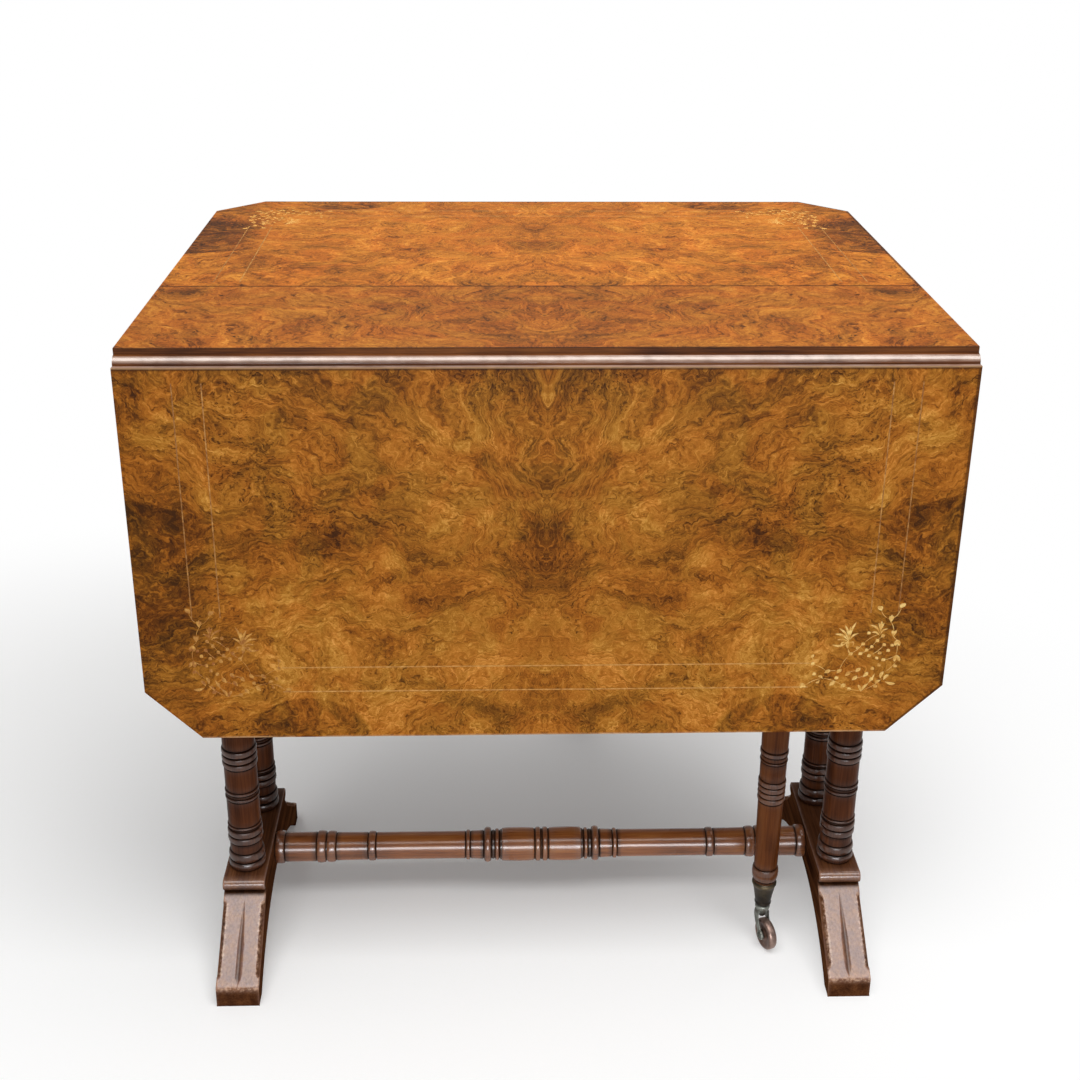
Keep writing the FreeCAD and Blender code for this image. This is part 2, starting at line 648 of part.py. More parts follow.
def knuckle_fingers(heights, x0, x1):
    """Round-ended fingers about the gate's pivot that reach back to a shoulder."""
    fingers = []
    for low, high in heights:
        eye = rod(KNUCKLE_RADIUS, vec(GATE_PIVOT_X, -GATE_Y, low), vec(GATE_PIVOT_X, -GATE_Y, high))
        neck = box(x0, x1, -GATE_Y - KNUCKLE_RADIUS, -GATE_Y + KNUCKLE_RADIUS, low, high)
        fingers += [eye, neck]
    return fingers


def gate_pin_hole():
    low = vec(GATE_PIVOT_X, -GATE_Y, BEARER_BOTTOM - FINGER_GAP)
    return rod(GATE_PIN_RADIUS + PIN_FIT, low, vec(GATE_PIVOT_X, -GATE_Y, UNDERSIDE))


def gate_pin():
    low = vec(GATE_PIVOT_X, -GATE_Y, BEARER_BOTTOM)
    return rod(GATE_PIN_RADIUS, low, vec(GATE_PIVOT_X, -GATE_Y, ARM_TOP))


def block_screw_places(make):
    """Screws, or their holes, that hold the knuckle block to its rail, with their places."""
    found = []
    middle_x = GATE_PIVOT_X - SHOULDER - BLOCK_LENGTH / 2
    face_y = -GATE_Y - KNUCKLE_RADIUS
    length = RAIL_THICKNESS / 2 - RAIL_OUTER_Y - face_y
    for x in (middle_x - BLOCK_SCREW_SPACING / 2, middle_x + BLOCK_SCREW_SPACING / 2):
        inward = FreeCAD.Rotation(X_AXIS, -90)
        place = FreeCAD.Placement(vec(x, face_y, UNDERSIDE - BEARER_HEIGHT / 2), inward)
        found.append((make(length), place))
    return found


def gate_block():
    """Fixed half of the knuckle, screwed to the rail."""
    near = GATE_PIVOT_X - SHOULDER
    body = box(near - BLOCK_LENGTH, near, -GATE_Y - KNUCKLE_RADIUS, -RAIL_OUTER_Y, BEARER_BOTTOM, UNDERSIDE)
    fingers = knuckle_fingers(finger_heights()[0::2], near, GATE_PIVOT_X)
    holes = [placed(hole, place) for hole, place in block_screw_places(screw_hole)]
    return body.fuse(fingers).cut(holes + [gate_pin_hole()]).removeSplitter()


def arm_tenon(gap):
    """Tenon of the arm in the leg's head, or its mortise with a gap round it."""
    face = GATE_LEG_X - LEG_HEAD / 2
    half = TENON_THICKNESS / 2 + gap
    low = BEARER_BOTTOM + TENON_SHOULDER - gap
    high = ARM_TOP - TENON_SHOULDER + gap
    return box(face, face + TENON_LENGTH + gap, -GATE_Y - half, -GATE_Y + half, low, high)


def gate_arm():
    """Moving half of the knuckle and the arm out to the leg."""
    near = GATE_PIVOT_X + SHOULDER
    face = GATE_LEG_X - LEG_HEAD / 2
    body = box(near, face, -GATE_Y - KNUCKLE_RADIUS, -GATE_Y + KNUCKLE_RADIUS, BEARER_BOTTOM, ARM_TOP)
    fingers = knuckle_fingers(finger_heights()[1::2], GATE_PIVOT_X, near)
    return body.fuse(fingers + [arm_tenon(0)]).cut(gate_pin_hole()).removeSplitter()


def on_leg(shape):
    """A piece drawn about the leg's own axis, moved to the leg."""
    return placed(shape, FreeCAD.Placement(vec(GATE_LEG_X, -GATE_Y, 0), FreeCAD.Rotation()))


def gate_leg():
    """Turned leg with a square head for the arm and a tapered end in the caster's cup."""
    shaft_low = CUP_TOP + LEG_COLLAR_HEIGHT
    cup_floor = CUP_BOTTOM_HEIGHT + CUP_FLOOR + GLUE_GAP
    profile = [
        (cup_floor, 0),
        [(cup_floor, cup_inner_radius(cup_floor) - GLUE_GAP)],
        [(CUP_TOP, cup_inner_radius(CUP_TOP) - GLUE_GAP)],
    ]
    profile += ring_steps(CUP_TOP, LEG_COLLAR_HEIGHT, LEG_RADIUS, LEG_COLLAR_RISE, True)
    for start, width, rise in LEG_FOOT_RINGS:
        profile += ring_steps(shaft_low + start, width, LEG_RADIUS, rise, False)
    for start, width, rise in reversed(LEG_HEAD_RINGS):
        profile += ring_steps(LEG_HEAD_BOTTOM - start - width, width, LEG_RADIUS, rise, False)
    profile += [[(LEG_HEAD_BOTTOM, LEG_RADIUS)], [(LEG_HEAD_BOTTOM, 0)]]
    half = LEG_HEAD / 2
    head = box(-half, half, -half, half, LEG_HEAD_BOTTOM, ARM_TOP)
    stem_top = CUP_BOTTOM_HEIGHT + SWIVEL_STEM + SWIVEL_GAP
    stem_hole = rod(SWIVEL_STEM_RADIUS + SWIVEL_GAP, vec(), vec(0, 0, stem_top))
    return on_leg(turned(profile).fuse(head).cut(stem_hole)).cut(arm_tenon(GLUE_GAP))


# Casters, drawn about the leg's axis and trailing toward -Y
def cup_outer_radius(z):
    share = (z - CUP_BOTTOM_HEIGHT) / CUP_HEIGHT
    return CUP_BOTTOM_RADIUS + (CUP_TOP_RADIUS - CUP_BOTTOM_RADIUS) * share


def cup_inner_radius(z):
    return cup_outer_radius(z) - CUP_WALL


def caster_cup():
    """Tapered brass cup on the leg's end, with a hole for the swivel stem in its floor."""
    floor_z = CUP_BOTTOM_HEIGHT + CUP_FLOOR
    bore = SWIVEL_STEM_RADIUS + AXLE_FIT
    profile = [
        (CUP_BOTTOM_HEIGHT, bore),
        [(CUP_BOTTOM_HEIGHT, CUP_BOTTOM_RADIUS)],
        [(CUP_TOP, CUP_TOP_RADIUS)],
        [(CUP_TOP, cup_inner_radius(CUP_TOP))],
        [(floor_z, cup_inner_radius(floor_z))],
        [(floor_z, bore)],
    ]
    return on_leg(turned(profile))


def turned_caster(shape, yaw):
    """A caster piece swung about the leg's axis."""
    return on_leg(placed(shape, FreeCAD.Placement(vec(), FreeCAD.Rotation(Z_AXIS, yaw))))


def caster_fork(yaw):
    """Crown with the swivel stem above it and two cheeks down to the axle."""
    crown = box(-CHEEK_OUTER_X, CHEEK_OUTER_X, -FORK_CROWN_FRONT, FORK_CROWN_BACK, CROWN_BOTTOM, CROWN_TOP)
    stem = rod(SWIVEL_STEM_RADIUS, vec(0, 0, CROWN_BOTTOM), vec(0, 0, CUP_BOTTOM_HEIGHT + SWIVEL_STEM))
    boss_low = (-CASTER_TRAIL, WHEEL_RADIUS - FORK_BOSS_RADIUS)
    boss_front = (-CASTER_TRAIL - FORK_BOSS_RADIUS, WHEEL_RADIUS)
    steps = [
        [(FORK_CROWN_BACK, CROWN_BOTTOM)],
        [(FORK_BOSS_RADIUS - CASTER_TRAIL, WHEEL_RADIUS)],
        [boss_low, boss_front],
        [(-FORK_CROWN_FRONT, CROWN_BOTTOM)],
    ]
    cheeks = []
    for x0, x1 in ((-CHEEK_OUTER_X, -CHEEK_INNER_X), (CHEEK_INNER_X, CHEEK_OUTER_X)):
        cheeks.append(extruded_along_x((-FORK_CROWN_FRONT, CROWN_BOTTOM), steps, x0, x1))
    axle_hole = axle_rod(AXLE_RADIUS + PIN_FIT, CHEEK_OUTER_X)
    return turned_caster(crown.fuse([stem] + cheeks).cut(axle_hole).removeSplitter(), yaw)


def axle_rod(radius, half):
    return rod(radius, vec(-half, -CASTER_TRAIL, WHEEL_RADIUS), vec(half, -CASTER_TRAIL, WHEEL_RADIUS))


def caster_axle(yaw):
    return turned_caster(axle_rod(AXLE_RADIUS, CHEEK_OUTER_X), yaw)


def caster_wheel(yaw):
    """Wheel with a crowned tread on the axle."""
    half = WHEEL_WIDTH / 2
    bore = AXLE_RADIUS + AXLE_FIT
    rim = WHEEL_RADIUS - WHEEL_CROWN
    profile = [(-half, bore), [(-half, rim)], [(0, WHEEL_RADIUS), (half, rim)], [(half, bore)]]
    across = FreeCAD.Rotation(Y_AXIS, 90)
    place = FreeCAD.Placement(vec(0, -CASTER_TRAIL, WHEEL_RADIUS), across)
    return turned_caster(placed(turned(profile), place), yaw)


# Every piece by its name
nodes = {
    "top_board": top_board(),
    "top_veneer": top_veneer(),
    "left_bearer": bearer(-1),
    "right_bearer": bearer(1),
    "front_rail": rail(-1),
    "rear_rail": rail(1),
    "left_foot": left_foot(),
    "right_foot": placed(left_foot(), FreeCAD.Placement(vec(), FreeCAD.Rotation(Z_AXIS, 180))),
    "stretcher": stretcher(),
    "bearer_screws": Part.makeCompound([placed(one, place) for one, place in bearer_screw_places(screw)]),
}

for end_name, post_x in (("left", -FOOT_X), ("right", FOOT_X)):
    for side_name, post_y in (("front", -POST_Y), ("rear", POST_Y)):
        standing = FreeCAD.Placement(vec(post_x, post_y, PLATFORM_HEIGHT), FreeCAD.Rotation())
        nodes[f"{end_name}_{side_name}_post"] = placed(post(), standing)

for side_name, level, leaf_place, x_sign in (
    ("front", FRONT_LEVEL, FRONT_HANGING, -1),
    ("rear", REAR_LEVEL, REAR_LEVEL, 1),
):
    nodes[f"{side_name}_leaf_board"] = placed(leaf_board(), leaf_place)
    nodes[f"{side_name}_leaf_veneer"] = placed(leaf_veneer(), leaf_place)
    nodes[f"{side_name}_leaf_stringing"] = Part.makeCompound(
        [placed(line, leaf_place) for line in stringing_lines()]
    )
    top_plate = screwed_plate(hinge_top_plate(), -HINGE_TOP_FLAP)
    leaf_plate = screwed_plate(hinge_leaf_plate(), HINGE_LEAF_FLAP)
    for end_name, hinge_x in hinge_places():
        along = FreeCAD.Placement(vec(x_sign * hinge_x, 0, 0), FreeCAD.Rotation())
        hinge = f"{side_name}_{end_name}_hinge"
        nodes[f"{hinge}_top_plate"] = placed(top_plate, level.multiply(along))
        nodes[f"{hinge}_leaf_plate"] = placed(leaf_plate, leaf_place.multiply(along))
        nodes[f"{hinge}_pin"] = placed(hinge_pin(), level.multiply(along))
    nodes[f"{side_name}_hinge_top_screws"] = Part.makeCompound(
        [placed(one, level) for one in hinge_screws(-HINGE_TOP_FLAP, screw)]
    )
    nodes[f"{side_name}_hinge_leaf_screws"] = Part.makeCompound(
        [placed(one, leaf_place) for one in hinge_screws(HINGE_LEAF_FLAP, screw)]
    )

for side_name, rail_place, gate_place, yaw in (
    ("front", FRONT_GATE, FRONT_GATE, FRONT_CASTER_YAW),
    ("rear", REAR_GATE_CLOSED, REAR_GATE_OUT, REAR_CASTER_YAW),
):
    nodes[f"{side_name}_gate_block"] = placed(gate_block(), rail_place)
    nodes[f"{side_name}_gate_pin"] = placed(gate_pin(), rail_place)
    nodes[f"{side_name}_block_screws"] = Part.makeCompound(
        [placed(one, rail_place.multiply(place)) for one, place in block_screw_places(screw)]
    )
    nodes[f"{side_name}_gate_arm"] = placed(gate_arm(), gate_place)
    nodes[f"{side_name}_gate_leg"] = placed(gate_leg(), gate_place)
    nodes[f"{side_name}_caster_cup"] = placed(caster_cup(), gate_place)
    nodes[f"{side_name}_caster_fork"] = placed(caster_fork(yaw), gate_place)
    nodes[f"{side_name}_caster_axle"] = placed(caster_axle(yaw), gate_place)
    nodes[f"{side_name}_caster_wheel"] = placed(caster_wheel(yaw), gate_place)

centred = FreeCAD.Placement(vec(0, -FOOTPRINT_MIDDLE, 0), FreeCAD.Rotation())
os.makedirs("parts", exist_ok=True)
for name, shape in nodes.items():
    placed(shape, centred).exportStep(os.path.join("parts", f"{name}.step"))
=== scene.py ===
from functools import partial

import bmesh
import bpy
import numpy as np
from mathutils import Matrix, Vector


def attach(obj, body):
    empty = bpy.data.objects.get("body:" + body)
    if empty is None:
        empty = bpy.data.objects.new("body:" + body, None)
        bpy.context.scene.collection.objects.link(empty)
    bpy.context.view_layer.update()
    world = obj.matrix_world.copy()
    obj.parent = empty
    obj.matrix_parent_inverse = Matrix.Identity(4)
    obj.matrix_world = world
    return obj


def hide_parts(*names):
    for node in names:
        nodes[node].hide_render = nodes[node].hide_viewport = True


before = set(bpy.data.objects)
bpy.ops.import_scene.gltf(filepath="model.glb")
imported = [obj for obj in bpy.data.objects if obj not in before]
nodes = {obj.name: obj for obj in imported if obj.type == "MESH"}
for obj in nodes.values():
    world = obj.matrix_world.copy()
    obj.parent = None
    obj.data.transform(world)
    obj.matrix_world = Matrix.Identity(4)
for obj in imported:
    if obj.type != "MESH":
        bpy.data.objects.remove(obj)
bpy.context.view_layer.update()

# Trestle feet
# Each foot is one walnut baulk: a platform with a rolled nosing, two sloping toes and an open arch below.
# It was sawn to shape, the toes fluted with a gouge and chamfered, then polished, and its arrises have worn.
# The paler colour on the crest of the nosing is a painted highlight, and on the toes' slopes partly painted
# sheen.
MM = 0.001
FOOT_CENTRE_X = 336.6
FOOT_CENTRE_Y = -173.85
FOOT_HALF_WIDTH = 23.4
TOE_REACH = 167.8
TOE_END_HEIGHT = 23.0
TOE_END_ROUND = 1.8
SHOULDER_REACH = 83.8
SLOPE_TOP = 87.2
NOSING_CENTRE = 97.2
NOSING_RADIUS = 7.0
SOLE_START = 150.8
ARCH_CENTRE = -167.04
ARCH_RADIUS = 225.04
ARRIS = 1.5
ARRIS_EASE = 2.0
CHAMFER = 4.5
CHAMFER_STOP = 9.0
CHAMFER_RUNOUT = 7.0
FLUTE_HALF_WIDTH = 3.4
FLUTE_DEPTH = 1.3
FLUTE_LOW_END = 0.5
FLUTE_LOW_RUN = 13.0
FLUTE_HIGH_END = 12.0
FLUTE_TAPER = 46.0
SIDE_BAND = 1.5
SIDE_EASE = 14.0
NOSING_CREST = 17.0
PLATFORM_START = 25.0
FOOT_CODES = ("#2c170d", "#52301c", "#6d4428", "#9d7b72", "#b98765", "#c9a58c")
OLD_WAX = "#140b07"
ALONG_Y = (np.pi / 2, 0, 0)


def linear(code):
    """Linear RGBA of an sRGB hex colour."""
    steps = [int(code[place:place + 2], 16) / 255 for place in (1, 3, 5)]
    return [s / 12.92 if s <= 0.04045 else ((s + 0.055) / 1.055) ** 2.4 for s in steps] + [1.0]


def fill(node, inputs):
    """Fills or links a shader node's inputs, each given by its name or by its place in order."""
    for key, value in inputs.items():
        if isinstance(value, bpy.types.NodeSocket):
            node.id_data.links.new(value, node.inputs[key])
        else:
            node.inputs[key].default_value = value


def add(tree, kind, *values, out=0, stops=(), **named):
    """Adds a shader node and gives one of its outputs. values fill or link its inputs in order; a named value
    fills or links the input of that name, or else sets the node's own property; stops are a ramp's places and
    colours."""
    node = tree.nodes.new("ShaderNode" + kind)
    inputs = dict(enumerate(values))
    for name, value in named.items():
        if name in node.inputs:
            inputs[name] = value
        else:
            setattr(node, name, value)
    for number, (position, code) in enumerate(stops):
        ramp = node.color_ramp.elements
        stop = ramp[number] if number < 2 else ramp.new(position)
        stop.position = position
        stop.color = linear(code)
    fill(node, inputs)
    return node.outputs[out]


def new_finish(name):
    """A material with its own Principled shader: gives the material, the call that adds a node to its tree,
    and the shader's node."""
    material = bpy.data.materials.new(name)
    material.use_nodes = True
    return material, partial(add, material.node_tree), material.node_tree.nodes["Principled BSDF"]


def make_piece(name, shapes, finish, body, stands_for=(), sharp=35.0):
    """One mesh at the origin from shapes of (points in mm, faces, marks); marks are values for each point."""
    starts = np.cumsum([0] + [len(points) for points, _, _ in shapes])
    faces = [(np.asarray(face) + start).tolist() for start, shape in zip(starts, shapes) for face in shape[1]]
    mesh = bpy.data.meshes.new(name)
    mesh.from_pydata(np.concatenate([points for points, _, _ in shapes]) * MM, [], faces)
    for mark in shapes[0][2]:
        values = np.concatenate([marks[mark] for _, _, marks in shapes]).astype(np.float32)
        kind, field = ("FLOAT_VECTOR", "vector") if values.ndim == 2 else ("FLOAT", "value")
        mesh.attributes.new(mark, kind, "POINT").data.foreach_set(field, values.ravel())
    shell = bmesh.new()
    shell.from_mesh(mesh)
    bmesh.ops.remove_doubles(shell, verts=shell.verts, dist=1e-6)
    bmesh.ops.recalc_face_normals(shell, faces=shell.faces)
    shell.to_mesh(mesh)
    shell.free()
    mesh.shade_smooth()
    mesh.set_sharp_from_angle(angle=np.radians(sharp))
    mesh.materials.append(finish)
    piece = bpy.data.objects.new(name, mesh)
    bpy.context.scene.collection.objects.link(piece)
    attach(piece, body)
    if stands_for:
        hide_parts(*stands_for)


def smooth_step(value):
    """Rises from 0 to 1 as value goes from 0 to 1, level at both ends."""
    held = np.clip(value, 0, 1)
    return held * held * (3 - 2 * held)


def grid_faces(rows, columns):
    """Quads of a grid of points: rows of points, each row columns long."""
    row, column = np.mgrid[0:rows - 1, 0:columns - 1]
    corner = (row * columns + column).ravel()
    return np.column_stack([corner, corner + 1, corner + 1 + columns, corner + columns])


def foot_top_path():
    """Side outline (y, z) over the top of a foot: toe end, a rounded corner, the slope, the quirk, the half
    round of the nosing and the platform, then the same mirrored to the other toe."""
    end = np.column_stack([np.full(9, -TOE_REACH), np.linspace(0, TOE_END_HEIGHT - TOE_END_ROUND, 9)])
    slope_run = np.array([TOE_REACH - SHOULDER_REACH, SLOPE_TOP - TOE_END_HEIGHT])
    slope_run = slope_run / np.hypot(*slope_run)
    corner = np.array([-TOE_REACH, TOE_END_HEIGHT])
    slope_start = corner + TOE_END_ROUND * slope_run
    bend = np.linspace(0, 1, 8)[1:-1, None]
    rounded = (1 - bend) ** 2 * end[-1] + 2 * bend * (1 - bend) * corner + bend ** 2 * slope_start
    slope = np.linspace(slope_start, (-SHOULDER_REACH, SLOPE_TOP), 64)
    sweep = np.linspace(-np.pi / 2, np.pi / 2, 17)
    nosing = np.column_stack([-SHOULDER_REACH - NOSING_RADIUS * np.cos(sweep),
                              NOSING_CENTRE + NOSING_RADIUS * np.sin(sweep)])
    platform = np.column_stack([np.linspace(-SHOULDER_REACH, 0, 16)[1:],
                                np.full(15, NOSING_CENTRE + NOSING_RADIUS)])
    half = np.concatenate([end, rounded, slope, nosing, platform])
    return np.concatenate([half, half[-2::-1] * (-1, 1)])


def foot_sole_path():
    """Side outline (y, z) under a foot: flat sole, circular arch, flat sole."""
    reach = np.linspace(-SOLE_START, SOLE_START, 61)
    arch = np.column_stack([reach, ARCH_CENTRE + np.sqrt(ARCH_RADIUS ** 2 - reach ** 2)])
    arch[:, 1] = np.maximum(arch[:, 1], 0)
    sole = np.column_stack([np.linspace(-TOE_REACH, -SOLE_START, 6), np.zeros(6)])
    return np.concatenate([sole[:-1], arch, sole[-2::-1] * (-1, 1)])


def foot_band(path, facing, across, depth):
    """An outline (y, z) carried across a foot and moved inwards by depth along its unit normals, which
    point to its left where facing is 1 and to its right where it is -1."""
    along = np.gradient(path, axis=0)
    normal = facing * np.column_stack([-along[:, 1], along[:, 0]])
    normal = normal / np.linalg.norm(normal, axis=1, keepdims=True)
    band = path[:, None, :] - depth[:, :, None] * normal[:, None, :]
    aside = np.broadcast_to(across[None, :, None], depth.shape + (1,))
    return np.concatenate([aside, band], axis=2).reshape(-1, 3)


def foot_marks(up_slope, down_slope, inset, past_chamfer, groove):
    """Shares of wear with painted sheen, polish, old wax and chips on a foot's top. On the slope between the
    chamfers the wear share is wear and partly painted sheen, on the crest of the nosing a painted highlight,
    and on the arrises wear. Polish lies on the slope and the crest, and thinly on the platform. Wax is in the
    flute and in the quirk below the nosing. Chips are along the chamfers and across the toe's top corner."""
    slope = smooth_step(up_slope / 3) * smooth_step((down_slope - 2) / 6)
    trodden_and_sheen = slope * (1 - smooth_step(past_chamfer / 1.2)) * (1 - 0.5 * groove)
    past_crest = -down_slope - NOSING_CREST
    rolled = np.exp(-(past_crest / np.where(past_crest > 0, 8, 5)) ** 2)
    platform = smooth_step((-down_slope - PLATFORM_START) / 4)
    edges = np.exp(-inset / 1.2) + np.exp(-(up_slope / 4) ** 2)
    quirk = np.exp(-((down_slope + 2) / 3.5) ** 2)
    chips = slope * np.exp(-(past_chamfer / 2) ** 2) + np.exp(-(up_slope / 2.6) ** 2)
    # The wear share is also a painted highlight on the nosing's crest and painted sheen on the slope; on the
    # arrises it is wear.
    return {"wear": 0.7 * trodden_and_sheen + 0.6 * rolled + 0.5 * edges,
            "polish": 0.9 * trodden_and_sheen + rolled + 0.25 * platform,
            "recess": 0.45 * groove + quirk, "chips": chips}


def foot_shape():
    """A foot as two bands across its width, each an outline moved inwards along its normals by a depth, and
    two flat sides. The depth is the quarter round of the arris, the stopped 45 degree chamfer and the V of
    the flute, which narrows to a point up the toe. The last column on each side lies in the flat side, where
    the marks end."""
    arris_columns = FOOT_HALF_WIDTH - ARRIS * (1 - np.sin(np.linspace(0, np.pi / 2, 7)))
    half_columns = np.concatenate([np.linspace(0, 3.6, 10), np.linspace(5, 16, 6), np.linspace(17.4, 21.4, 9),
                                   arris_columns, [FOOT_HALF_WIDTH]])
    across = np.concatenate([-half_columns[:0:-1], half_columns])
    inset = FOOT_HALF_WIDTH - np.abs(across)
    in_side = np.zeros(len(across))
    in_side[[0, -1]] = 1
    arris = np.where(inset < ARRIS, ARRIS - np.sqrt(np.maximum(ARRIS ** 2 - (ARRIS - inset) ** 2, 0)), 0)
    path = foot_top_path()
    length = np.concatenate([[0], np.cumsum(np.linalg.norm(np.diff(path, axis=0), axis=1))])
    from_sole = np.minimum(length, length[-1] - length)[:, None]
    up_slope = from_sole - TOE_END_HEIGHT
    down_slope = np.hypot(TOE_REACH - SHOULDER_REACH, SLOPE_TOP - TOE_END_HEIGHT) - up_slope
    chamfer = CHAMFER * smooth_step((up_slope - CHAMFER_STOP) / CHAMFER_RUNOUT)
    chamfer = chamfer * smooth_step((down_slope - CHAMFER_STOP) / CHAMFER_RUNOUT)
    past_chamfer = np.abs(across) - FOOT_HALF_WIDTH + chamfer
    point = np.clip((down_slope - FLUTE_HIGH_END) / FLUTE_TAPER, 0, 1) ** 0.7
    flute = point * smooth_step((up_slope - FLUTE_LOW_END) / FLUTE_LOW_RUN)
    flute_half = np.maximum(FLUTE_HALF_WIDTH * flute, 1e-6)
    groove = flute * np.maximum(1 - (np.abs(across) / flute_half) ** 1.4, 0)
    depth = np.maximum(np.maximum(past_chamfer, 0), arris * smooth_step(from_sole / ARRIS_EASE))
    depth = depth + FLUTE_DEPTH * groove + SIDE_BAND * in_side * smooth_step(from_sole / SIDE_EASE)
    sole_path = foot_sole_path()
    from_end = (TOE_REACH - np.abs(sole_path[:, 0]))[:, None]
    sole_depth = arris * smooth_step(from_end / ARRIS_EASE)
    sole_depth = sole_depth + SIDE_BAND * in_side * smooth_step(from_end / SIDE_EASE)
    points = np.concatenate([foot_band(path, 1, across, depth), foot_band(sole_path, -1, across, sole_depth)])
    columns = len(across)
    sole_start = len(path) * columns
    top_faces = grid_faces(len(path), columns)
    sole_faces = grid_faces(len(sole_path), columns)[:, [0, 3, 2, 1]] + sole_start
    top_edge = np.arange(len(path)) * columns
    sole_edge = np.arange(len(sole_path)) * columns + sole_start
    near_side = np.concatenate([sole_edge, top_edge[-2:0:-1]])
    sides = [(near_side + columns - 1).tolist(), near_side[::-1].tolist()]
    under = np.zeros(sole_depth.size)
    marks = {mark: np.concatenate([(np.clip(share, 0, 1) * (1 - in_side)).ravel(), under])
             for mark, share in foot_marks(up_slope, down_slope, inset, past_chamfer, groove).items()}
    return points, top_faces.tolist() + sole_faces.tolist() + sides, marks


def walnut_finish(name, codes, grain_turn, rough, gloss, coat=(0.16, 1.5), place="", chipped=False):
    """French polished walnut. codes are the dark pore, body, light figure and worn colours, and for a
    chipped finish the warm wear and the bare wood. The worn colour lies where the wear mark says; on the feet
    and on the rings of turnings it is also painted highlight and sheen. The grain runs along the pattern's Z
    after grain_turn: bands about 14 mm wide, pores about 1.5 mm wide and 45 mm long. gloss is the thin polish
    all over; coat is the roughness and IOR of the whole polish, which lies where the polish mark says. place
    names the mark that is read instead of Object coordinates. A chipped finish has warm and cool wear about
    11 mm across, and flecks about 3 mm across where the chips mark says."""
    finish, put, shader = new_finish(name)
    here = put("Attribute", attribute_name=place, out="Vector") if place else put("TexCoord", out="Object")
    turned = put("Mapping", here, Rotation=grain_turn)
    long_bands = put("Mapping", turned, Scale=(1.0, 1.0, 0.08))
    bands = put("TexNoise", long_bands, Scale=70.0, Detail=3.0, Distortion=0.5)
    long_pores = put("Mapping", turned, Scale=(1.0, 1.0, 0.035))
    pores = put("TexNoise", long_pores, Scale=620.0, Detail=2.0)
    patches = put("TexNoise", turned, Scale=16.0, Detail=2.0)
    figure = -0.4
    for part, share in ((bands, 0.8), (patches, 0.5), (pores, 0.5)):
        figure = put("Math", part, share, figure, operation="MULTIPLY_ADD")
    wood = put("ValToRGB", figure, stops=((0.25, codes[0]), (0.75, codes[2]), (0.5, codes[1])))
    long_scuffs = put("Mapping", turned, Scale=(1.0, 1.0, 0.4))
    scuff = put("TexNoise", long_scuffs, Scale=420.0, Detail=4.0, Roughness=0.65)
    patchy = put("MapRange", scuff, 0.30, 0.62, 0.45, 1.0)
    # Where the wear mark is, a paler worn colour; on the feet and on ring crests it is also painted highlight
    # and sheen.
    wear_and_sheen_share = put("Math", put("Attribute", attribute_name="wear", out="Fac"), patchy, operation="MULTIPLY")
    wear_and_sheen_colour = linear(codes[3])
    if chipped:
        faded = put("TexNoise", turned, Scale=90.0, Detail=4.0, Roughness=0.7)
        wear_and_sheen_colour = put("ValToRGB", faded, stops=((0.36, codes[3]), (0.66, codes[4])))
    body = put("MixRGB", wear_and_sheen_share, wood, wear_and_sheen_colour)
    if chipped:
        chips = put("Attribute", attribute_name="chips", out="Fac")
        flecks = put("MapRange", put("TexNoise", turned, Scale=300.0, Detail=3.0), 0.44, 0.64)
        flecks = put("Math", flecks, chips, operation="MULTIPLY")
        body = put("MixRGB", flecks, body, linear(codes[5]))
    recess = put("Attribute", attribute_name="recess", out="Fac")
    old_wax = put("Math", recess, 0.85, operation="MULTIPLY")
    satin = put("MapRange", patches, 0.3, 0.7, rough - 0.05, rough + 0.06)
    relief = put("Math", scuff, 0.6, pores, operation="MULTIPLY_ADD")
    bump = put("Bump", Height=relief, Strength=0.12, Distance=0.0005)
    fill(shader, {"Base Color": put("MixRGB", old_wax, body, linear(OLD_WAX)),
                  "Roughness": put("Math", recess, 0.4, satin, operation="MULTIPLY_ADD"),
                  "Normal": bump, "Coat Normal": bump, "Specular IOR Level": gloss,
                  "Coat Weight": put("Attribute", attribute_name="polish", out="Fac"),
                  "Coat Roughness": coat[0], "Coat IOR": coat[1]})
    return finish


foot_finish = walnut_finish("worn_polished_walnut", FOOT_CODES, ALONG_Y, rough=0.34, gloss=0.0,
                            coat=(0.18, 1.6), chipped=True)
points, faces, marks = foot_shape()
for side, sign in (("left", -1), ("right", 1)):
    placed = points + (sign * FOOT_CENTRE_X, FOOT_CENTRE_Y, 0)
    make_piece(side + "_trestle_foot", [(placed, faces, marks)], foot_finish, "frame",
               [side + "_foot"])

# Turned posts
# Four walnut posts, two to a trestle end, turned between centres with beads, rings and fine parting cuts.
# Each is dowelled into the foot below and the bearer above; old wax has darkened the cuts.
POST_RADIUS = 18.0
POST_SPREAD = 54.8
POST_FOOT = 104.2
POST_LENGTH = 579.8
POST_BASE_RINGS = ((0.4, 10.2, 2.6), (11.2, 11.0, 2.0), (35, 8.4, 1.5), (44, 8.4, 1.5), (55, 3.4, 0.9),
                   (92, 4.2, 0.9), (100, 4.2, 0.9), (134, 7.4, 1.4), (142, 7.4, 1.4), (150, 8.2, 1.4))
POST_HEAD_RINGS = ((0.4, 10.2, 2.6), (134, 7.4, 1.4), (142, 7.4, 1.4), (150, 8.2, 1.4))
POST_SIDES = {"left_front_post": (-1, -1), "left_rear_post": (-1, 1), "right_front_post": (1, -1),
              "right_rear_post": (1, 1)}
POST_SEGMENTS = 64
# The last code is the rings' worn colour, which is also a painted highlight.
POST_CODES = ("#361a0d", "#512b16", "#693a1e", "#80726e")
POST_POLISH = 0.04
CUT_DEPTH = 1.0
CUT_WIDTH = 1.1
CUT_REACH = 2.5
RING_REACH = 7.0
RING_POLISH = 0.55
RING_WAX = 0.15
RING_WEAR_AND_HIGHLIGHT = 0.08
ALONG_Z = (0, 0, 0)


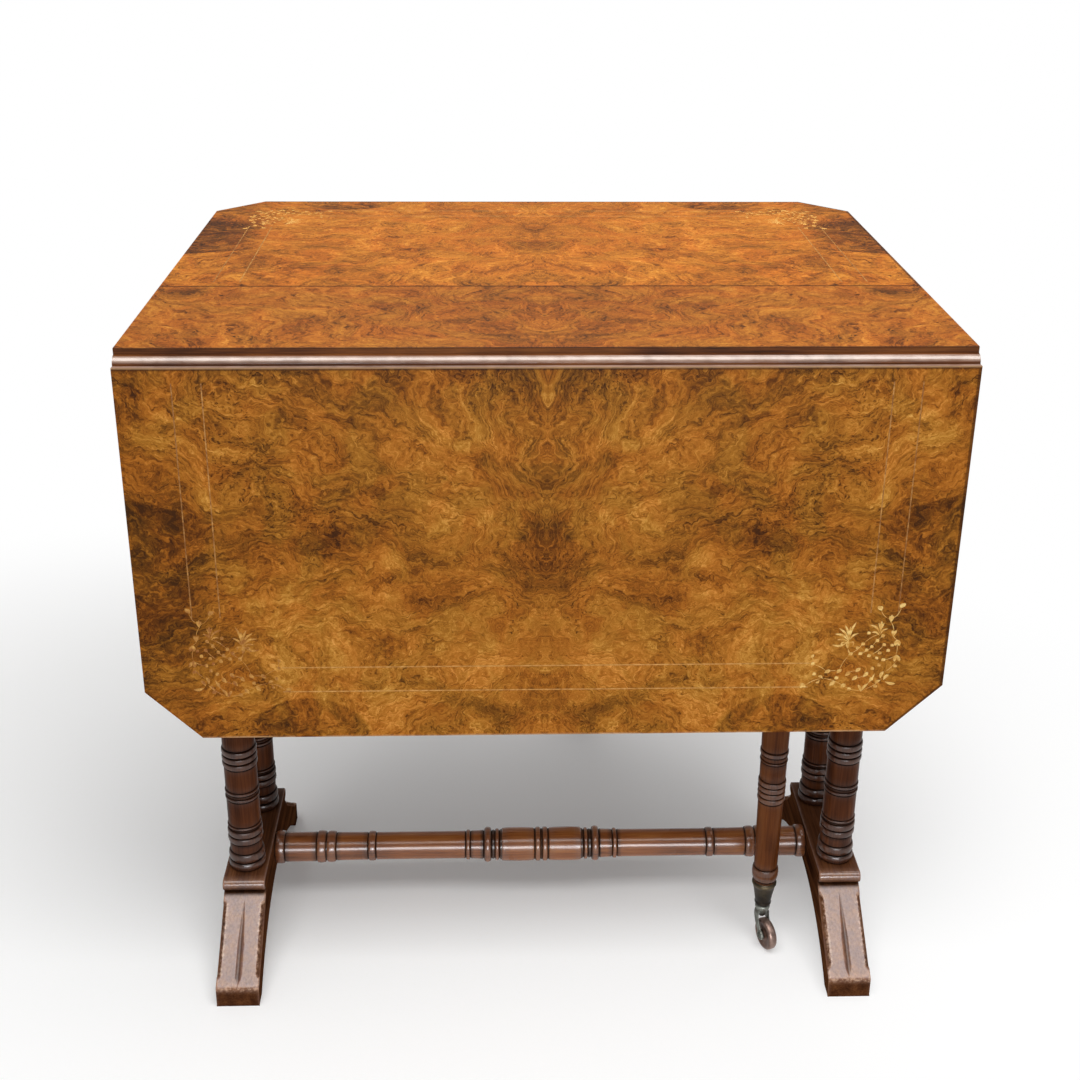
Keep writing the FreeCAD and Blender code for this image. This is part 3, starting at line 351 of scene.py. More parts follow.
def turned_profile(length, core, rings):
    """Places and radii along a turning. The core radius is read between (place, radius) pairs; each ring
    (start, width, rise) adds the half ellipse rise * sqrt(1 - t^2), with a V cut at either edge."""
    rings = np.asarray(rings, float)
    middle = rings[:, 0] + rings[:, 1] / 2
    half = rings[:, 1] / 2
    edges = np.concatenate([rings[:, 0], rings[:, 0] + rings[:, 1]])
    fine = middle[:, None] - half[:, None] * np.cos(np.linspace(0, np.pi, 15))
    cuts = edges[:, None] + CUT_WIDTH * np.array([-1, -0.5, 0, 0.5, 1])
    places = np.concatenate([np.arange(0, length, 6.0), fine.ravel(), cuts.ravel(), [0, length]])
    places = np.unique(np.round(np.clip(places, 0, length), 3))
    plain = np.interp(places, *np.transpose(core))
    inside = np.abs(places[:, None] - middle) / half
    rise = np.where(inside < 1, rings[:, 2] * np.sqrt(np.maximum(1 - inside ** 2, 0)), 0).max(axis=1)
    near_cut = np.clip(1 - np.abs(places[:, None] - edges) / CUT_WIDTH, 0, 1).max(axis=1)
    return places, plain + rise - CUT_DEPTH * near_cut


def counted_back(rings, length):
    """Rings that are given from the far end of a length, counted from its near end."""
    return [(length - start - width, width, rise) for start, width, rise in rings]


def tube_faces(rows, around):
    """Quads of a tube whose rows of points are each closed round, and its two flat ends."""
    row, column = np.mgrid[0:rows - 1, 0:around]
    low = row * around + column
    high = row * around + (column + 1) % around
    quads = np.stack([low, high, high + around, low + around], axis=-1).reshape(-1, 4).tolist()
    first = np.arange(around)
    return quads + [first[::-1].tolist(), (first + (rows - 1) * around).tolist()]


def carried_up(outline, levels, scales):
    """A closed outline (x, y) carried up Z and scaled at each level, as a tube with flat ends."""
    plane = scales[:, None, None] * outline
    height = np.broadcast_to(levels[:, None, None], plane.shape[:2] + (1,))
    return np.concatenate([plane, height], axis=2).reshape(-1, 3), tube_faces(len(levels), len(outline))


def lathe(places, radii, segments):
    """Surface of revolution (r cos a, r sin a, z) about Z through places and radii, with flat closed ends."""
    angle = np.linspace(0, 2 * np.pi, segments, endpoint=False)
    return carried_up(np.column_stack([np.cos(angle), np.sin(angle)]), places, radii)


def turned_piece(places, radii, segments, plain_polish, shift):
    """A lathe shape with a turning's marks: its own place in metres, moved by shift so that no two turnings
    share a figure; old wax in what lies below its neighbours within CUT_REACH, and a little on the rings;
    polish and slight wear on the rings, which stand above their neighbours within RING_REACH. The rings'
    worn colour, a bluish grey, is also a painted highlight."""
    points, faces = lathe(places, radii, segments)
    apart = np.abs(places[:, None] - places)
    crown = np.where(apart < CUT_REACH, radii[None, :], 0).max(axis=1)
    floor_radius = np.where(apart < RING_REACH, radii[None, :], 1e6).min(axis=1)
    crest = np.clip((radii - floor_radius - 0.7) / 1.2, 0, 1)
    recess = np.maximum(np.clip((crown - radii) / 1.5, 0, 1), RING_WAX * crest)
    polish = np.maximum(RING_POLISH * crest, plain_polish)
    # On the rings the wear share lays a worn colour that is also a painted highlight.
    shares = {"recess": recess, "wear": RING_WEAR_AND_HIGHLIGHT * crest, "polish": polish}
    marks = {mark: np.repeat(share, segments) for mark, share in shares.items()}
    return points, faces, {"turning": points * MM + shift, **marks}


post_finish = walnut_finish("turned_polished_walnut", POST_CODES, ALONG_Z, rough=0.30, gloss=0.02,
                            coat=(0.24, 1.7), place="turning")
post_rings = list(POST_BASE_RINGS) + counted_back(POST_HEAD_RINGS, POST_LENGTH)
post_core = ((0, POST_RADIUS), (POST_LENGTH, POST_RADIUS))
post_places, post_radii = turned_profile(POST_LENGTH, post_core, post_rings)
for number, (post, (side_sign, face_sign)) in enumerate(POST_SIDES.items()):
    own_figure = (0.31 * number, 0.17 * number, 0.0)
    points, faces, marks = turned_piece(post_places, post_radii, POST_SEGMENTS, POST_POLISH, own_figure)
    placed = points + (side_sign * FOOT_CENTRE_X, FOOT_CENTRE_Y + face_sign * POST_SPREAD, POST_FOOT)
    make_piece(post + "_turning", [(placed, faces, marks)], post_finish, "frame", [post])

# Stretcher
# One walnut rail turned to match the posts, with a ringed barrel at its middle and ringed ends.
# Its round tenons go into the two feet and hold the trestle ends apart.
STRETCHER_HALF = 313.2
STRETCHER_HEIGHT = 82.3
STRETCHER_CORE = ((0, 18.2), (47, 18.4), (49, 16.6), (69, 16.5), (84, 15.9), (110, 15.7), (195, 15.7),
                  (240, 16.2), (264, 16.9), (313.2, 17.2))
STRETCHER_RINGS = ((1, 6.4, 1.4), (8.4, 38.6, 1.0), (50, 4.8, 1.6), (59, 9, 3.6), (84, 5.2, 1.4),
                   (195, 9, 1.4), (241.6, 11, 1.6), (253.2, 11, 1.8), (301.6, 11.2, 1.8))
STRETCHER_SEGMENTS = 64
# The last code is the rings' worn colour, which is also a painted highlight.
STRETCHER_CODES = ("#5c3015", "#96562a", "#b2713a", "#b09488")
STRETCHER_POLISH = 0.4
STRETCHER_FIGURE = (1.7, 0.4, 0.0)
stretcher_rings = [(STRETCHER_HALF + start, width, rise) for start, width, rise in STRETCHER_RINGS]
stretcher_rings = stretcher_rings + counted_back(STRETCHER_RINGS, STRETCHER_HALF)
stretcher_core = [(STRETCHER_HALF - place, radius) for place, radius in STRETCHER_CORE[::-1]]
stretcher_core = stretcher_core + [(STRETCHER_HALF + place, radius) for place, radius in STRETCHER_CORE[1:]]
stretcher_places, stretcher_radii = turned_profile(2 * STRETCHER_HALF, stretcher_core, stretcher_rings)
points, faces, marks = turned_piece(stretcher_places, stretcher_radii, STRETCHER_SEGMENTS, STRETCHER_POLISH,
                                    STRETCHER_FIGURE)
lying = np.column_stack([points[:, 2] - STRETCHER_HALF, points[:, 0] + FOOT_CENTRE_Y,
                         points[:, 1] + STRETCHER_HEIGHT])
stretcher_finish = walnut_finish("turned_stretcher_walnut", STRETCHER_CODES, ALONG_Z, rough=0.30, gloss=0.1,
                                 coat=(0.22, 1.9), place="turning")
make_piece("stretcher_turning", [(lying, faces, marks)], stretcher_finish, "frame",
           ["stretcher"])

# Bearers, rails and gate timbers
# Plain walnut scantlings under the top: two bearers on the posts, two long rails, and the knuckled gate arms.
# They were planed and oiled, never polished, so they are duller and browner than what shows.
ALONG_X = (0, np.pi / 2, 0)
OILED_CODES = ("#2b1a10", "#4e3322", "#6b4a31", "#6b4a31")
CROSSWISE_CODES = ("#2b1a10", "#4a301f", "#664730", "#664730")


def lay_finish(finish, *names):
    """Gives CAD nodes a finish in place of their plain one."""
    for name in names:
        nodes[name].data.materials.clear()
        nodes[name].data.materials.append(finish)


oiled_finish = walnut_finish("plain_oiled_walnut", OILED_CODES, ALONG_X, rough=0.5, gloss=0.15)
crosswise_finish = walnut_finish("plain_oiled_walnut_crosswise", CROSSWISE_CODES, ALONG_Y, rough=0.5,
                                 gloss=0.15)
lay_finish(oiled_finish, "front_rail", "rear_rail", "front_gate_arm", "front_gate_block", "rear_gate_block")
lay_finish(crosswise_finish, "left_bearer", "right_bearer", "rear_gate_arm")

# Gate legs
# Two slim walnut legs with a square head tenoned to the gate arm, turned and tapering to the caster's socket.
# The front one is shut against the rail at the right, the rear one is swung out under the raised leaf.
LEG_LOW = 86.0
LEG_HIGH = 671.7
LEG_HEAD_HIGH = 719.7
LEG_HEAD_HALF = 15.5
LEG_HEAD_ROUND = 1.6
LEG_HEAD_AROUND = 32
LEG_CORE = ((0, 12.4), (20, 13.2), (60, 13.7), (214, 15.2), (585.7, 15.2))
LEG_RINGS = ((3, 16.6, 2.0), (110, 6.8, 1.1), (117.2, 6.8, 1.1), (124.4, 6.8, 1.1), (131.6, 6.8, 1.1),
             (162, 3.0, 0.7), (171, 6.2, 0.9), (541, 6.8, 1.0), (548.2, 6.8, 1.0), (555.4, 6.8, 1.0))
LEG_TENON = 3.0
LEG_SEGMENTS = 56
# The last code is the rings' worn colour, which is also a painted highlight.
LEG_CODES = ("#41200f", "#603417", "#764420", "#8c7c78")
LEG_POLISH = 0.06
LEG_AXES = {"front": (253.6, -247.85), "rear": (66.4, 220.15)}


def square_head(half, corner, low, high, shift):
    """A planed block: a square outline with rounded arrises carried up in Z, its ends drawn in by the same
    round and closed flat. The outline is the square's inner corner plus the round's own quarter circle."""
    angle = np.linspace(0, 2 * np.pi, LEG_HEAD_AROUND, endpoint=False) + np.pi / LEG_HEAD_AROUND
    ring = np.column_stack([np.cos(angle), np.sin(angle)])
    outline = np.sign(ring) * (half - corner) + ring * corner
    bend = np.linspace(0, np.pi / 2, 5)
    rounding = corner * (1 - np.sin(bend))
    levels = np.sort(np.concatenate([low + rounding, high - rounding]))
    drawn_in = corner * (1 - np.cos(bend))
    points, faces = carried_up(outline, levels, 1 - np.concatenate([drawn_in[::-1], drawn_in]) / half)
    none = np.zeros(len(points))
    return points, faces, {"turning": points * MM + shift, "recess": none, "wear": none, "polish": none}


leg_finish = walnut_finish("turned_gate_leg_walnut", LEG_CODES, ALONG_Z, rough=0.30, gloss=0.02,
                           coat=(0.24, 1.7), place="turning")
leg_places, leg_radii = turned_profile(LEG_HIGH - LEG_LOW + LEG_TENON, LEG_CORE, LEG_RINGS)
for number, (gate, axis) in enumerate(LEG_AXES.items()):
    own_figure = (2.3 + number, 0.9, 0.0)
    leg = [turned_piece(leg_places + LEG_LOW, leg_radii, LEG_SEGMENTS, LEG_POLISH, own_figure),
           square_head(LEG_HEAD_HALF, LEG_HEAD_ROUND, LEG_HIGH, LEG_HEAD_HIGH, own_figure)]
    shapes = [(points + (*axis, 0), faces, marks) for points, faces, marks in leg]
    make_piece(gate + "_gate_leg_turning", shapes, leg_finish, gate + "_gate",
               [gate + "_gate_leg"])

# Casters
# A cast brass socket holds each leg's end; its pivot carries a two-armed horn, whose axle carries the wheel.
# The brass has gone brown and green-grey, and is rubbed bright only on its rims and arms.
CUP_LOW = 53.0
CUP_SEGMENTS = 48
CUP_PROFILE = ((0, 6.5), (0.4, 8.4), (1.5, 9.4), (3.2, 9.6), (4.4, 9.0), (6, 9.2), (14, 10.4), (24, 12.2),
               (27.4, 12.9), (28.0, 13.5), (28.8, 13.9), (30.6, 13.9), (31.4, 13.5), (31.8, 12.9), (33, 12.6))
WHEEL_RADIUS = 18.0
WHEEL_TRAIL = 12.0
WHEEL_SEGMENTS = 64
WHEEL_HALF_PROFILE = ((-5.1, 2.2), (-5.1, 4.6), (-4.6, 5.6), (-3.9, 6.4), (-3.7, 9), (-3.9, 12.4),
                      (-4.6, 13.6), (-4.9, 15.2), (-4.5, 16.7), (-3.4, 17.7), (-1.6, 18))
HORN_PLATE = 6.9
HORN_THICK = 1.05
HORN_START = (0.0, 47.5)
HORN_PULL = (3.5, 31.0)
HORN_HALF_WIDTH = 5.0
HORN_TAPER = 1.6
HORN_DRAWN_IN = 2.2
HORN_OVAL_POWER = 0.7
HORN_STATIONS = 28
HORN_AROUND = 20
BOSS_PLACE = HORN_PLATE + 0.6
BOSS_SEGMENTS = 32
CROWN_SEGMENTS = 40
BOSS_PROFILE = ((-1.6, 3.0), (-1.6, 5.2), (-1.1, 5.6), (1.0, 5.6), (1.5, 5.1), (1.7, 3.4), (2.5, 3.0),
                (3.1, 1.9), (3.3, 0.5))
CROWN_PROFILE = ((34.8, 1.5), (35.6, 3.0), (38.0, 4.8), (41.6, 6.2), (45.2, 7.2), (48, 8.4), (50.6, 8.6),
                 (52.0, 7.8), (52.6, 5.5), (53.4, 5.0))
CASTER_AXLES = {"front": (0.939693, 0.34202), "rear": (0.422618, -0.906308)}


def horn_arm(side):
    """One arm of the horn: an oval section, wide in the wheel's plane and thin across it, carried along a
    quadratic curve from the crown down and back to the axle; it narrows towards the axle. Ends are closed."""
    along = np.linspace(0, 1, HORN_STATIONS)[:, None]
    start = np.array(HORN_START)
    pull = np.array(HORN_PULL)
    end = np.array([-WHEEL_TRAIL, WHEEL_RADIUS])
    centre = (1 - along) ** 2 * start + 2 * along * (1 - along) * pull + along ** 2 * end
    run = 2 * (1 - along) * (pull - start) + 2 * along * (end - pull)
    run = run / np.linalg.norm(run, axis=1, keepdims=True)
    over = np.column_stack([-run[:, 1], run[:, 0]])
    width = HORN_HALF_WIDTH - HORN_TAPER * along
    spread = HORN_PLATE - HORN_DRAWN_IN * (1 - smooth_step(along * 4))
    angle = np.linspace(0, 2 * np.pi, HORN_AROUND, endpoint=False)
    wide = np.sign(np.cos(angle)) * np.abs(np.cos(angle)) ** HORN_OVAL_POWER
    thin = np.sign(np.sin(angle)) * np.abs(np.sin(angle)) ** HORN_OVAL_POWER
    plane = centre[:, None, :] + (width * wide)[:, :, None] * over[:, None, :]
    across = side * spread + HORN_THICK * thin[None, :]
    points = np.concatenate([across[:, :, None], plane], axis=2).reshape(-1, 3)
    return points, tube_faces(HORN_STATIONS, HORN_AROUND), {"wear": np.full(len(points), 0.4)}


def brass_turning(profile, segments, height=0.0):
    """A lathe shape through a profile's places and radii, rubbed bright as the eighth power of its radius."""
    places, radii = np.transpose(profile)
    points, faces = lathe(places + height, radii, segments)
    return points, faces, {"wear": np.repeat((radii / radii.max()) ** 8, segments)}


def laid_on_axle(shape, offset, mirror=1):
    """Turns a lathe shape about Z so that its axis lies along the axle, X, at the wheel's centre."""
    points, faces, marks = shape
    turned = np.column_stack([mirror * points[:, 2] + offset, mirror * points[:, 0] - WHEEL_TRAIL,
                              points[:, 1] + WHEEL_RADIUS])
    return turned, faces, marks


def swivelled(shape, gate):
    """Turns a caster shape about the leg's axis so that its axle has the direction the CAD gives it."""
    points, faces, marks = shape
    across, ahead = CASTER_AXLES[gate]
    east, north = LEG_AXES[gate]
    placed = np.column_stack([east + across * points[:, 0] - ahead * points[:, 1],
                              north + ahead * points[:, 0] + across * points[:, 1], points[:, 2]])
    return placed, faces, marks


def old_brass(name, codes, rough):
    """Cast brass left to darken: a skin of the first three codes, mottled by a bloom about 6 mm across, and
    the last code, brighter, where it is rubbed."""
    finish, put, shader = new_finish(name)
    here = put("TexCoord", out="Object")
    bloom = put("TexNoise", here, Scale=170.0, Detail=4.0, Roughness=0.6)
    skin = put("ValToRGB", bloom, stops=((0.3, codes[0]), (0.75, codes[2]), (0.52, codes[1])))
    rubbed = put("Math", put("Attribute", attribute_name="wear", out="Fac"), bloom, operation="MULTIPLY")
    pits = put("TexNoise", here, Scale=900.0, Detail=2.0)
    fill(shader, {"Base Color": put("MixRGB", rubbed, skin, linear(codes[3])),
                  "Roughness": put("MapRange", bloom, 0.3, 0.7, rough, rough + 0.22),
                  "Normal": put("Bump", Height=pits, Strength=0.2, Distance=0.0003), "Metallic": 0.8})
    return finish


socket_finish = old_brass("blackened_cast_brass", ("#120e0b", "#231c16", "#352e25", "#7a6a50"), rough=0.36)
horn_finish = old_brass("green_grey_cast_brass", ("#2a2822", "#54534c", "#80847c", "#aeb0a6"), rough=0.36)
wheel_finish = old_brass("brown_brass_wheel", ("#33231b", "#5c4236", "#796055", "#b59a8e"), rough=0.30)
wheel_profile = WHEEL_HALF_PROFILE + tuple((-place, radius) for place, radius in WHEEL_HALF_PROFILE[::-1])
cup = brass_turning(CUP_PROFILE, CUP_SEGMENTS, CUP_LOW)
boss = brass_turning(BOSS_PROFILE, BOSS_SEGMENTS)
horn = [brass_turning(CROWN_PROFILE, CROWN_SEGMENTS), horn_arm(-1), horn_arm(1),
        laid_on_axle(boss, BOSS_PLACE), laid_on_axle(boss, -BOSS_PLACE, -1)]
wheel = laid_on_axle(brass_turning(wheel_profile, WHEEL_SEGMENTS), 0)
for gate in CASTER_AXLES:
    make_piece(gate + "_caster_socket", [swivelled(cup, gate)], socket_finish, gate + "_gate",
               [gate + "_caster_cup"], sharp=50)
    make_piece(gate + "_caster_horn", [swivelled(shape, gate) for shape in horn], horn_finish,
               gate + "_caster", [gate + "_caster_fork"], sharp=50)
    make_piece(gate + "_caster_roller", [swivelled(wheel, gate)], wheel_finish, gate + "_wheel",
               [gate + "_caster_wheel"], sharp=40)

# Top and leaf boards
# Solid walnut boards, planed and jointed; the fixed top's long edges carry the ovolo and step of the rule
# joint, the leaves the matching hollow. Edges are french polished; the ovolo's crest has a painted highlight,
# and the hanging leaf's lip is painted paler.
# A paler pinkish grey: on the ovolo's crest a painted highlight, on the hanging leaf's lip a paler band.
PALE_LIP_AND_HIGHLIGHT_BOARD = "#b59a8a"
LIP_LOW = 0.7190
LIP_HIGH = 0.7206
BOARD_CODES = ("#32190b", "#5f3417", "#7d4a22", "#7d4a22")
BOARD_ROUGH = 0.44
BOARD_GLOSS = 0.06


def pale_lip_and_highlight_board(name, where):
    """French polished board walnut, its grain along X, with a paler colour where the named place is: the
    ovolo's crest, which looks up and out at about 45 degrees, where the paler colour is a painted highlight,
    and the lip of the hanging leaf's hollow, each on its own board.
    The polish is whole only there."""
    finish = walnut_finish(name, BOARD_CODES, ALONG_X, BOARD_ROUGH, BOARD_GLOSS, coat=(0.14, 1.8))
    put = partial(add, finish.node_tree)
    shader = finish.node_tree.nodes["Principled BSDF"]
    here = put("TexCoord", out="Object")
    # The crest is found by which way the surface faces, and its paler colour is a painted highlight.
    if where == "crest":
        lean = put("SeparateXYZ", put("TexCoord", out="Normal"), out=2)
        rise = put("MapRange", lean, 0.12, 0.55, interpolation_type="SMOOTHSTEP")
        fall = put("MapRange", lean, 0.84, 0.98, 1.0, 0.0, interpolation_type="SMOOTHSTEP")
        place = put("Math", rise, fall, operation="MULTIPLY")
    else:
        place = put("MapRange", put("SeparateXYZ", here, out=2), LIP_LOW, LIP_HIGH, 0.0, 0.6,
                    interpolation_type="SMOOTHSTEP")
    breaks = put("MapRange", put("TexNoise", here, Scale=60.0, Detail=4.0), 0.3, 0.6, 0.55, 1.0)
    share = put("Math", place, breaks, operation="MULTIPLY")
    polished = shader.inputs["Base Color"].links[0].from_socket
    fill(shader, {"Base Color": put("MixRGB", share, polished, linear(PALE_LIP_AND_HIGHLIGHT_BOARD)), "Coat Weight": place})
    return finish


raised_board_finish = walnut_finish("french_polished_walnut_raised_leaf", BOARD_CODES, ALONG_X, BOARD_ROUGH,
                                    BOARD_GLOSS)
lay_finish(pale_lip_and_highlight_board("french_polished_walnut_top", "crest"), "top_board")
lay_finish(pale_lip_and_highlight_board("french_polished_walnut_hanging_leaf", "lip"), "front_leaf_board")
lay_finish(raised_board_finish, "rear_leaf_board")

# Burr veneer
# Sheets of burr walnut, knife-cut, book-matched about the middle and glued to the boards, then scraped and
# polished. The fibres swirl out from a heart on the centre line and crowd into dark eyes.
VENEER_AXIS = -0.002
LEAF_PIN_HEIGHT = 0.7235
REAR_PIN_Y = -0.06835
TOP_MIDDLE_Y = -0.17385
TOP_HALF_DEPTH = 0.1055
LEAF_HALF_LENGTH = 0.415
LEAF_DEPTH = 0.41
LEAF_CANT = 0.0556
LEAF_HEART = 0.264
TOP_HEART = -0.3
UPRIGHT = (np.pi / 2, 0, 0)
LEVEL = (0, 0, 0)
OVAL_ACROSS = 0.246
OVAL_HALF_ACROSS = 0.062
OVAL_HALF_DOWN = 0.047
OVAL_TONE = -0.18
STEM_TONE = -0.11
HANGING_END_TONES = (-0.22, -0.20)
RAISED_END_TONES = (-0.34, -0.29)
# Each push is the noise's waves to the metre and how far it moves the plane, in metres.
BURR_PUSHES = ((5.5, 0.16), (24.0, 0.050), (66.0, 0.017), (165.0, 0.0110))
# Places of a burr's colours on its ramp: the two ends first, as a new ramp has them, then the four between.
BURR_STEPS = (0.0, 1.0, 0.25, 0.42, 0.58, 0.78)
LEAF_BURR = ("#42250a", "#e6ae5e", "#6c3f10", "#935a1a", "#af7026", "#c98b3b")
RAISED_BURR = ("#371b05", "#e29a47", "#6c3b0b", "#955515", "#b0661c", "#c87d2a")
TOP_BURR = ("#301705", "#cd8b3b", "#64360b", "#884c13", "#9f5d1b", "#b57126")
# A dark colour: a dark line along the rule joints, and painted shade along the leaves' ends, canted corners
# and the raised leaf's free edge.
SOIL_AND_EDGE_SHADE = "#351a0a"
RUBBED_VENEER = "#c5a078"


def pieced_tone(put, aside, across, down, wobble, hanging):
    """Tone change where a leaf's sheet is pieced: a darker end piece with a slanted top edge, whose dark
    wood runs out inwards and towards the free edge, a dark oval near each corner at the free edge, and a
    lighter tone lower down, darker towards the pin line. The hanging leaf also has a darker left end and the
    dark stem that the book-match makes above the heart, and the raised leaf a darker middle."""
    slant = put("Math", put("Math", across, 0.27, -0.247, operation="MULTIPLY_ADD"), down)
    ragged = put("Math", wobble, 0.07, across, operation="MULTIPLY_ADD")
    beyond = put("MapRange", ragged, 0.352, 0.402, interpolation_type="SMOOTHSTEP")
    run_out = put("MapRange", down, 0.27, 0.37, 1.0, 0.35, interpolation_type="SMOOTHSTEP")
    end_piece = put("Math", beyond, put("MapRange", slant, -0.0010, 0.0012), operation="MULTIPLY")
    end_piece = put("Math", end_piece, run_out, operation="MULTIPLY")
    end_tone = put("MapRange", aside, -0.4, 0.4, *(HANGING_END_TONES if hanging else RAISED_END_TONES))
    end_piece = put("Math", end_piece, end_tone, operation="MULTIPLY")
    oval_across = put("Math", across, OVAL_ACROSS, operation="SUBTRACT")
    oval_across = put("Math", oval_across, OVAL_HALF_ACROSS, operation="DIVIDE")
    oval_down = put("Math", LEAF_DEPTH, down, operation="SUBTRACT")
    oval_down = put("Math", oval_down, OVAL_HALF_DOWN, operation="DIVIDE")
    oval_wide = put("Math", oval_across, 2.0, operation="POWER")
    oval_reach = put("Math", oval_down, oval_down, oval_wide, operation="MULTIPLY_ADD")
    oval = put("MapRange", oval_reach, 0.95, 1.04, 1.0, 0.0)
    change = put("MapRange", down, 0.0, 0.3, -0.075 if hanging else 0.03, 0.04)
    change = put("Math", end_piece, change)
    if not hanging:
        change = put("Math", put("MapRange", across, 0.05, 0.28, -0.06, 0.0), change)
        return put("Math", oval, OVAL_TONE, change, operation="MULTIPLY_ADD")
    change = put("Math", put("MapRange", aside, -0.41, -0.24, -0.10, 0.0), change)
    change = put("Math", oval, OVAL_TONE, change, operation="MULTIPLY_ADD")
    sway = put("Math", wobble, 0.03, -0.015, operation="MULTIPLY_ADD")
    swayed = put("Math", across, sway)
    stem = put("MapRange", swayed, 0.006, 0.030, 1.0, 0.0, interpolation_type="SMOOTHSTEP")
    begins = put("MapRange", down, 0.05, 0.10)
    ends = put("MapRange", down, 0.19, 0.27, 1.0, 0.0)
    stem = put("Math", stem, put("Math", begins, ends, operation="MULTIPLY"), operation="MULTIPLY")
    return put("Math", stem, STEM_TONE, change, operation="MULTIPLY_ADD")


def shaded_and_pale_rim(put, burr, across, down, breaks, hanging):
    """A leaf's burr with dark and pale bands at its rim. A dark band about 1.5 mm wide along the ends and
    canted corners and along the raised leaf's free edge is painted shade, standing for the shaded edge of the
    board; a dark line also lies under the hanging leaf's lip. A paler band about 2 mm wide lies along the
    hanging leaf's free edge, broken by the burr's own blotches, and along its lip."""
    to_end = put("Math", LEAF_HALF_LENGTH, across, operation="SUBTRACT")
    to_edge = put("Math", LEAF_DEPTH, down, operation="SUBTRACT")
    to_cant = put("Math", put("Math", to_end, to_edge), 0.7071, -0.7071 * LEAF_CANT, operation="MULTIPLY_ADD")
    corner = put("Math", to_end, to_cant, operation="MINIMUM")
    if not hanging:
        corner = put("Math", corner, to_edge, operation="MINIMUM")
    # The dark band along the ends, canted corners and the raised leaf's free edge is painted shade.
    edge_shade_and_lip_line = put("MapRange", corner, 0.0004, 0.0020, 0.7, 0.0, interpolation_type="SMOOTHSTEP")
    if not hanging:
        return put("MixRGB", edge_shade_and_lip_line, burr, linear(SOIL_AND_EDGE_SHADE))
    under_lip = put("MapRange", down, 0.0026, 0.0044, 0.7, 0.0, interpolation_type="SMOOTHSTEP")
    edge_shade_and_lip_line = put("Math", edge_shade_and_lip_line, under_lip, operation="MAXIMUM")
    near = put("MapRange", to_edge, 0.0004, 0.0024, 0.75, 0.0, interpolation_type="SMOOTHSTEP")
    rubbed = put("Math", near, put("MapRange", breaks, 0.35, 0.6), operation="MULTIPLY")
    lip = put("MapRange", down, 0.0012, 0.0022, 0.5, 0.0, interpolation_type="SMOOTHSTEP")
    rubbed = put("Math", rubbed, lip, operation="MAXIMUM")
    return put("MixRGB", rubbed, put("MixRGB", edge_shade_and_lip_line, burr, linear(SOIL_AND_EDGE_SHADE)), linear(RUBBED_VENEER))


def soiled_joint(put, down, sheet_of):
    """Share of dark soil in a line about 2 mm wide along a rule joint: at both long edges of the fixed top,
    and at the pin edge of the raised leaf."""
    if sheet_of == "top":
        edge = put("Math", down, operation="ABSOLUTE")
        return put("MapRange", edge, TOP_HALF_DEPTH - 0.0028, TOP_HALF_DEPTH, 0.0, 0.85)
    return put("MapRange", down, 0.0006, 0.0030, 0.85, 0.0)


